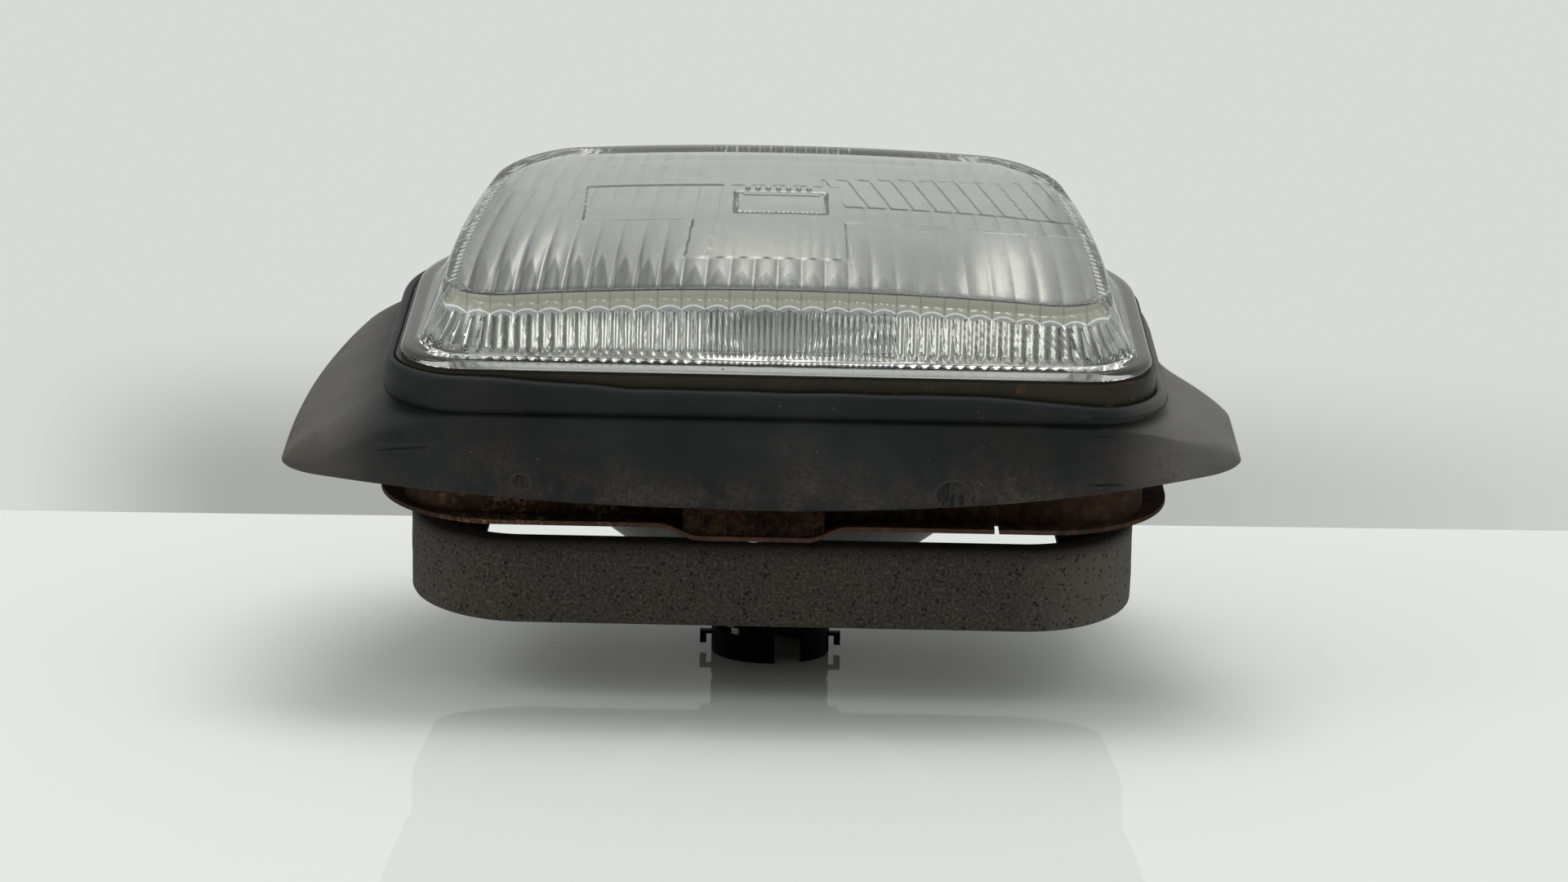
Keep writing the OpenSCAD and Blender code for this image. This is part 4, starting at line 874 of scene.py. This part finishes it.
def sponge_rubber(colours):
    """Closed-cell sponge: grey-brown skin full of dark pits and pale grains, browner in
    patches, with a painted shadow along its upper edge and both ends painted lighter, as
    if lit from the sides."""
    f = Finish("sponge_rubber")
    x, _, z = f.parts(f.place)
    pits, small = f.cells(1.3), f.cells(0.55)
    lump, cloud = f.noise(0.9, 6, 0.78), f.noise(24, 5, 0.6)
    # Painted light: both ends of the band are lighter, the right one most, as if lit from the
    # sides.
    ends = x.between(60, 97) * 0.95 + (1 - x.between(-97, -66)) * 0.35
    hole = (1 - pits.between(0.20, 0.42)) * f.noise(2.8, 3).between(0.46, 0.56)
    grain = (1 - small.between(0.10, 0.16)) * f.noise(3, 2).between(0.50, 0.62)
    # Painted shadow of the frame along the band's upper edge.
    shade = (z + lump * 3).between(49.0, 54.2)
    tone = f.layers(
        colours.sponge,
        (cloud.between(0.4, 0.66), (0.047, 0.036, 0.024)),
        (lump.between(0.46, 0.66) * 0.75, (0.13, 0.122, 0.106)),
        (ends, (0.125, 0.118, 0.10)),
        (hole * 0.9, (0.006, 0.0055, 0.005)),
        (grain * 0.6, (0.22, 0.21, 0.19)),
        (shade * 0.75, (0.014, 0.012, 0.011)),
    )
    height = lump * 0.7 + pits.between(0.05, 0.5) * 0.6 + small * 0.4
    normal = f.bump(height, 0.45, 0.9)
    return f.whole(Base_Color=tone, Roughness=0.92, Specular_IOR_Level=0.25, Normal=normal)


def rusted_steel(colours):
    """Steel rusted all over: dark brown scale, red-brown and orange bloom, and a crust of
    dull yellow grains in places. The wall has a painted shadow high up and on the box
    pressed out of it, where the skirt shades it, its ends are greyer, and the flange's
    thin edge has a painted highlight."""
    f = Finish("rusted_steel")
    x, y, z = f.parts(f.place)
    big, bloom, grain = f.noise(16, 5, 0.65, warp=0.6), f.noise(3.6, 6, 0.7), f.noise(0.7, 4, 0.7)
    scale, brown = (0.006, 0.0035, 0.0025), (0.020, 0.010, 0.006)
    red, orange = (0.078, 0.034, 0.015), (0.17, 0.068, 0.025)
    strip = x.between(-96, -84) * (1 - x.between(-48, -36)) * 0.8 + 0.2
    crust = f.noise(1.5, 3, 0.6).between(0.47, 0.56) * big.between(0.44, 0.58) * strip
    # Painted shadow: the wall high up and the front of the box pressed out of it are darkened where
    # the skirt shades them, less at the wall's ends and in the strip where the crust lies.
    box = (1 - (x + 5.0).maths("ABSOLUTE").between(18.4, 19.2)) * y.between(-70.97, -70.9)
    upper = z.between(60.4, 61.4).maths("MAXIMUM", box) * (1 - strip * 0.5)
    ends = x.maths("ABSOLUTE").between(50, 95)
    # Painted highlight: a paler line along the flange's thin edge on the top side.
    lip = (1 - y.between(-71.76, -71.5)) * (0.3 + bloom * 0.7)
    tone = f.layers(
        f.ramp(bloom, (0.30, scale), (0.46, brown), (0.60, red), (0.74, orange)),
        (crust * 0.85, colours.crust),
        ((1 - grain.between(0.3, 0.5)) * 0.6, (0.010, 0.006, 0.004)),
        # Painted shadow under the skirt, lighter towards the wall's ends.
        (upper * (0.72 - ends * 0.35), (0.004, 0.0028, 0.002)),
        (ends * (0.15 + bloom * 0.6), (0.085, 0.055, 0.038)),
        (lip, (0.085, 0.050, 0.036)),
    )
    return f.whole(
        Base_Color=tone,
        Roughness=0.72 + grain * 0.25,
        Specular_IOR_Level=0.05,
        Normal=f.bump(bloom * 0.8 + grain * 0.5 + crust * 0.5, 0.35, 0.9),
    )


def olive_rim(colours):
    """Khaki plated steel, darker where grime lies, with small rust spots."""
    f = Finish("olive_rim")
    cloud, streak = f.noise(12, 5, 0.6), f.noise(3, 3, 0.6, stretch=(0.2, 0.2, 1.0))
    rust = f.noise(5, 5, 0.7).between(0.62, 0.70)
    tone = f.layers(
        colours.rim,
        (cloud.between(0.35, 0.7), (0.018, 0.016, 0.010)),
        (streak.between(0.5, 0.75) * 0.5, (0.012, 0.010, 0.007)),
        (rust * 0.85, (0.13, 0.055, 0.022)),
    )
    return f.whole(
        Base_Color=tone,
        Roughness=0.40 + rust * 0.4 + cloud * 0.1,
        Specular_IOR_Level=0.2,
        Normal=f.bump(f.noise(1.5, 4) + rust, 0.05, 0.6),
    )


def plain_metal(name, bright, dull, metallic, rough, grain=1.0, specular=0.4):
    """Plated or painted metal, card or nylon: two tones in clouds, fine grain, and patchy
    gloss."""
    f = Finish(name)
    cloud, fine = f.noise(6, 5, 0.6), f.noise(grain, 3, 0.6)
    wear = (cloud.between(0.4, 0.68), dull), (fine.between(0.55, 0.8) * 0.35, dull)
    return f.whole(
        Base_Color=f.layers(bright, *wear),
        Metallic=metallic,
        Roughness=rough + cloud * 0.15,
        Specular_IOR_Level=specular,
        Normal=f.bump(fine, 0.03, 0.5),
    )


def dress(*rows):
    """Makes plain finishes and gives each to its CAD nodes. A row holds a name, the nodes
    in one line, and the rest of what plain_metal takes."""
    for name, nodes, *look in rows:
        paint(plain_metal(name, *look), *nodes.split())


def clear_tube():
    """The bulb's thin clear glass, with a trace of haze."""
    f = Finish("clear_tube")
    rough = 0.01 + f.noise(5, 3).between(0.5, 0.9) * 0.08
    return f.whole(
        Base_Color=(0.95, 0.97, 0.97), Roughness=rough, IOR=1.45, Transmission_Weight=1.0
    )


# Sizes and colours that a user may change


def length(name, description, default):
    """A length in metres."""
    return FloatProperty(
        name=name, description=description, default=default, unit="LENGTH", precision=5
    )


def colour(name, description, default):
    """A colour that reaches the material as it is written."""
    return FloatVectorProperty(
        name=name, description=description, default=default, subtype="COLOR", min=0, max=1
    )


class LensSizes(bpy.types.PropertyGroup):
    flutes: IntProperty(name="Flutes", description="Flutes across the face", default=28, min=8)
    flute_depth: length("Flute depth", "Depth of the flutes along the top side", 0.0008)
    block_depth: length("Block depth", "Depth of the shallow flutes behind them", 0.0006)
    rib_depth: length("Rib depth", "Depth of the grooves down the inside of the wall", 0.0013)
    face: length("Face", "Thickness of the face", 0.0042)
    wall: length("Wall", "Thickness of the wall", 0.0032)


class RubberSizes(bpy.types.PropertyGroup):
    skirt: length("Skirt", "Thickness of the skirt", 0.0016)
    bow: length("Bow", "How far the skirt bows up between bead and hem", 0.0015)


class BandSizes(bpy.types.PropertyGroup):
    dents: length("Dents", "Depth of the dents in the sponge", 0.00022)


class Colours(bpy.types.PropertyGroup):
    glass: colour("Glass", "Tint of the pressed glass", (0.82, 0.82, 0.80))
    # Olive painted on the glass along its edge, for what the edge shows by refraction.
    edge: colour("Edge", "Olive of the glass seen through its edge", (0.47, 0.475, 0.38))
    rubber: colour("Rubber", "Rubber of bead and skirt", (0.0065, 0.007, 0.0075))
    dust: colour("Dust", "Dust on the rubber", (0.078, 0.060, 0.046))
    sponge: colour("Sponge", "Skin of the sponge band", (0.036, 0.033, 0.028))
    crust: colour("Crust", "Yellow crust on the rust", (0.28, 0.195, 0.10))
    rim: colour("Rim", "Khaki of the lens rim", (0.024, 0.0215, 0.0115))
    table: colour("Table", "Glossy white table", (0.77, 0.78, 0.76))
    backdrop: colour("Backdrop", "Pale wall behind", (0.69, 0.705, 0.685))


class StageSettings(bpy.types.PropertyGroup):
    ambient: FloatProperty(
        name="Ambient", description="Strength of the light from high all round", default=0.74, min=0
    )
    lamp: FloatProperty(
        name="Lamp", description="Strength of the soft lamp above", default=9.0, min=0
    )
    gloss: FloatProperty(
        name="Gloss", description="Share of light the table mirrors", default=0.09, min=0, max=1
    )
    lens: FloatProperty(name="Lens", description="Focal length in millimetres", default=103.125)
    distance: length("Distance", "From the camera to the bulb axis", 1.219)
    height: length("Height", "Height of the camera", 0.3142)


# Operators


class HEADLIGHT_OT_lens(bpy.types.Operator):
    """Builds the pressed glass lens"""

    bl_idname = "headlight.lens"
    bl_label = "Glass lens"

    def execute(self, context):
        shape = lens_points(context.scene.headlight_lens)
        glass = pressed_glass(context.scene.headlight_colours)
        make_piece("pressed_lens", shape, glass, "lamp", ["lens_glass"], 50)
        return {"FINISHED"}


class HEADLIGHT_OT_bowl(bpy.types.Operator):
    """Builds the reflector bowl with its silvered inside"""

    bl_idname = "headlight.bowl"
    bl_label = "Reflector bowl"

    def execute(self, context):
        shape, silver = bowl_points(), mirror_bowl()
        make_piece("mirror_bowl", shape, silver, "lamp", ["reflector"], 40)
        return {"FINISHED"}


class HEADLIGHT_OT_surround(bpy.types.Operator):
    """Builds the rubber bead and skirt"""

    bl_idname = "headlight.surround"
    bl_label = "Rubber surround"

    def execute(self, context):
        shape = surround_points(context.scene.headlight_rubber)
        rubber, nodes = old_rubber(context.scene.headlight_colours), ["rubber_surround"]
        make_piece("rubber_skirt", shape, rubber, "lamp", nodes, 60)
        return {"FINISHED"}


class HEADLIGHT_OT_band(bpy.types.Operator):
    """Builds the sponge cushion band"""

    bl_idname = "headlight.band"
    bl_label = "Cushion band"

    def execute(self, context):
        shape = band_points(context.scene.headlight_band)
        skin, nodes = sponge_rubber(context.scene.headlight_colours), ["cushion_band"]
        piece = make_piece("sponge_band", shape, skin, "frame", nodes, 60)
        return {"FINISHED"}


class HEADLIGHT_OT_steelwork(bpy.types.Operator):
    """Rusts the frame, its brackets and their rivets"""

    bl_idname = "headlight.steelwork"
    bl_label = "Rusted steel"

    def execute(self, context):
        rust = rusted_steel(context.scene.headlight_colours)
        paint(rust, "steel_frame", "side_bracket_left", "side_bracket_right", "bracket_rivets")
        return {"FINISHED"}


class HEADLIGHT_OT_rim(bpy.types.Operator):
    """Finishes the lens rim and the sealant under the glass"""

    bl_idname = "headlight.rim"
    bl_label = "Rim and sealant"

    def execute(self, context):
        paint(olive_rim(context.scene.headlight_colours), "lens_rim")
        dress(("sealant", "lens_sealant", (0.020, 0.018, 0.014), (0.045, 0.038, 0.028), 0.0, 0.75))
        return {"FINISHED"}


class HEADLIGHT_OT_collar(bpy.types.Operator):
    """Finishes the bulb collar with its gasket, rivets, retaining ring and spring"""

    bl_idname = "headlight.collar"
    bl_label = "Bulb collar"

    def execute(self, context):
        coal, soot = (0.0012, 0.0012, 0.0014), (0.004, 0.0035, 0.003)
        card, stain = (0.10, 0.078, 0.055), (0.055, 0.043, 0.032)
        dress(
            ("black_steel", "bulb_collar", coal, soot, 0.0, 0.5, 1.0, 0.04),
            ("gasket_board", "collar_gasket", card, stain, 0.0, 0.9),
            ("zinc_rivet", "collar_rivets", (0.50, 0.50, 0.48), (0.28, 0.27, 0.24), 0.9, 0.38),
            ("ring_steel", "retaining_ring", (0.34, 0.32, 0.28), (0.19, 0.14, 0.10), 0.9, 0.42),
            ("spring_steel", "ring_spring", (0.45, 0.43, 0.39), (0.24, 0.20, 0.16), 1.0, 0.35),
        )
        return {"FINISHED"}


class HEADLIGHT_OT_bulb(bpy.types.Operator):
    """Finishes the bulb with its cap, contacts, tube and filaments"""

    bl_idname = "headlight.bulb"
    bl_label = "Bulb"

    def execute(self, context):
        filaments, coil = "main_filament dip_filament", (0.22, 0.21, 0.22)
        dress(
            ("nickel_cap", "bulb_cap", (0.62, 0.60, 0.55), (0.42, 0.39, 0.34), 1.0, 0.28),
            ("cap_insulator", "bulb_insulator", (0.012, 0.012, 0.013), (0.03,) * 3, 0.0, 0.35),
            ("solder_contact", "bulb_contacts", (0.66, 0.60, 0.48), (0.40, 0.32, 0.20), 1.0, 0.35),
            ("support_wire", "bulb_supports", (0.50, 0.49, 0.47), (0.32, 0.31, 0.30), 1.0, 0.35),
            ("filament_wire", filaments, coil, (0.12, 0.12, 0.13), 1.0, 0.45, 0.4),
            ("shield_metal", "dip_shield", (0.48, 0.48, 0.47), (0.30, 0.30, 0.29), 1.0, 0.30),
        )
        paint(clear_tube(), "bulb_glass")
        return {"FINISHED"}


class HEADLIGHT_OT_aimers(bpy.types.Operator):
    """Finishes the pivots and the aim screw with its nut, lug and clip"""

    bl_idname = "headlight.aimers"
    bl_label = "Pivots and aim screw"

    def execute(self, context):
        plated = "pivot_ear_left pivot_ear_right aim_lug aim_clip pivot_washers"
        brass, rust = (0.40, 0.36, 0.26), (0.18, 0.12, 0.06)
        dress(
            ("worn_zinc", plated, (0.42, 0.41, 0.37), (0.22, 0.15, 0.09), 0.8, 0.45),
            ("pin_steel", "pivot_pins", (0.33, 0.30, 0.25), (0.15, 0.09, 0.05), 0.8, 0.5),
            ("screw_steel", "aim_screw", brass, rust, 0.85, 0.42, 0.6),
            ("nylon", "aim_nut", (0.62, 0.60, 0.52), (0.50, 0.46, 0.36), 0.0, 0.45),
        )
        return {"FINISHED"}


def table_top(colour, share):
    """A matt pale table that mirrors a little, with smears and a few specks."""
    f = Finish("glossy_table")
    smear = f.noise(60, 4, 0.6).between(0.5, 0.8)
    mark = (1 - f.cells(34).between(0.012, 0.022)) * f.noise(50, 2).between(0.5, 0.6)
    base = f.mix(mark, colour, (0.20, 0.19, 0.17))
    body = f.surface(Base_Color=base, Roughness=0.9, Specular_IOR_Level=0.0)
    gloss = f.surface(Base_Color=(1, 1, 1), Metallic=1.0, Roughness=0.03 + smear * 0.03)
    return f.done(f.blend(share, body, gloss))


def pale_room(backdrop, ambient):
    """A world that shows the pale backdrop, with a painted soft shadow low behind the lamp,
    to the camera, to mirrors and through glass, and lights the rest from high all round."""
    w = Tree(bpy.data.worlds.new("pale_room"))
    x, _, z = w.parts(w.node("ShaderNodeTexCoord", output="Generated"))
    across = x.between(-0.172, -0.115) * x.between(0.0, 0.24, 1.0, 0.12)
    shadow = across * z.between(-0.178, -0.214, 0.0, 0.5)
    tone = w.mix(shadow, backdrop, (0.10, 0.10, 0.095))
    shown = w.node("ShaderNodeBackground", None, {"Color": tone})
    rise = z.between(0.1, 0.62, ambient * 0.05, ambient * 1.05)
    lit = w.node("ShaderNodeBackground", None, {"Color": (0.97, 1.0, 0.99, 1), "Strength": rise})
    kinds = ("Is Camera Ray", "Is Glossy Ray", "Is Transmission Ray")
    seen = most([w.node("ShaderNodeLightPath", output=kind) for kind in kinds])
    return w.done(w.blend(seen, lit, shown), "ShaderNodeOutputWorld")


def soft_lamp(name, place, target, size, power):
    """A rectangular lamp turned to its target."""
    data = bpy.data.lights.new(name, "AREA")
    data.shape, data.size, data.size_y, data.energy = "RECTANGLE", *size, power
    lamp = bpy.data.objects.new(name, data)
    bpy.context.scene.collection.objects.link(lamp)
    x, y, z = np.subtract(target, place)
    lamp.location = place
    lamp.rotation_euler = (math.atan2(math.hypot(x, y), -z), 0, math.atan2(-x, y))


class HEADLIGHT_OT_stage(bpy.types.Operator):
    """Sets the glossy table, the pale backdrop, the lamps and the camera"""

    bl_idname = "headlight.stage"
    bl_label = "Stage"

    def execute(self, context):
        scene, stage = context.scene, context.scene.headlight_stage
        colours = scene.headlight_colours
        mesh = bpy.data.meshes.new("table")
        corners = [(-2.0, -2.2, 0), (2.0, -2.2, 0), (2.0, 0.2264, 0), (-2.0, 0.0978, 0)]
        mesh.from_pydata(corners, [], [(0, 1, 2, 3)])
        mesh.materials.append(table_top(colours.table, stage.gloss))
        table = bpy.data.objects.new("table", mesh)
        scene.collection.objects.link(table)

        scene.world = pale_room(colours.backdrop, stage.ambient)
        soft_lamp("lamp_above", (0.1, 0.15, 1.5), (0, 0, 0), (1.1, 0.8), stage.lamp)
        soft_lamp("lamp_side", (-1.3, -0.7, 1.1), (0, 0, 0.05), (0.8, 0.6), stage.lamp * 0.35)

        data = bpy.data.cameras.new("camera")
        data.lens, data.sensor_width = stage.lens, 36
        camera = bpy.data.objects.new("camera", data)
        scene.collection.objects.link(camera)
        turn = Matrix.Translation((-0.0015, -stage.distance, stage.height))
        for degrees, axis in ((-0.2, "Z"), (78.2, "X"), (1.2, "Z")):
            turn = turn @ Matrix.Rotation(math.radians(degrees), 4, axis)
        camera.matrix_world = turn
        scene.camera = camera
        scene.view_settings.view_transform = "Standard"
        return {"FINISHED"}


class HEADLIGHT_PT_panel(bpy.types.Panel):
    """Lists the steps in the order they are made"""

    bl_idname = "HEADLIGHT_PT_panel"
    bl_label = "Headlight"
    bl_space_type = "VIEW_3D"
    bl_region_type = "UI"
    bl_category = "Headlight"

    def draw(self, context):
        for operator in OPERATORS:
            self.layout.operator(operator.bl_idname)
        for name in GROUPS:
            group = getattr(context.scene, name)
            box = self.layout.box()
            for key in group.__annotations__:
                box.prop(group, key)


OPERATORS = (
    HEADLIGHT_OT_lens,
    HEADLIGHT_OT_bowl,
    HEADLIGHT_OT_surround,
    HEADLIGHT_OT_band,
    HEADLIGHT_OT_steelwork,
    HEADLIGHT_OT_rim,
    HEADLIGHT_OT_collar,
    HEADLIGHT_OT_bulb,
    HEADLIGHT_OT_aimers,
    HEADLIGHT_OT_stage,
)
GROUPS = {
    "headlight_lens": LensSizes,
    "headlight_rubber": RubberSizes,
    "headlight_band": BandSizes,
    "headlight_colours": Colours,
    "headlight_stage": StageSettings,
}


def register():
    for group in GROUPS.values():
        bpy.utils.register_class(group)
    for operator in (*OPERATORS, HEADLIGHT_PT_panel):
        bpy.utils.register_class(operator)
    for name, group in GROUPS.items():
        setattr(bpy.types.Scene, name, PointerProperty(type=group))


def unregister():
    for name in GROUPS:
        delattr(bpy.types.Scene, name)
    for operator in (HEADLIGHT_PT_panel, *OPERATORS[::-1]):
        bpy.utils.unregister_class(operator)
    for group in GROUPS.values():
        bpy.utils.unregister_class(group)


def main():
    register()
    for operator in OPERATORS:
        group, name = operator.bl_idname.split(".")
        getattr(getattr(bpy.ops, group), name)()


if __name__ == "__main__":
    main()
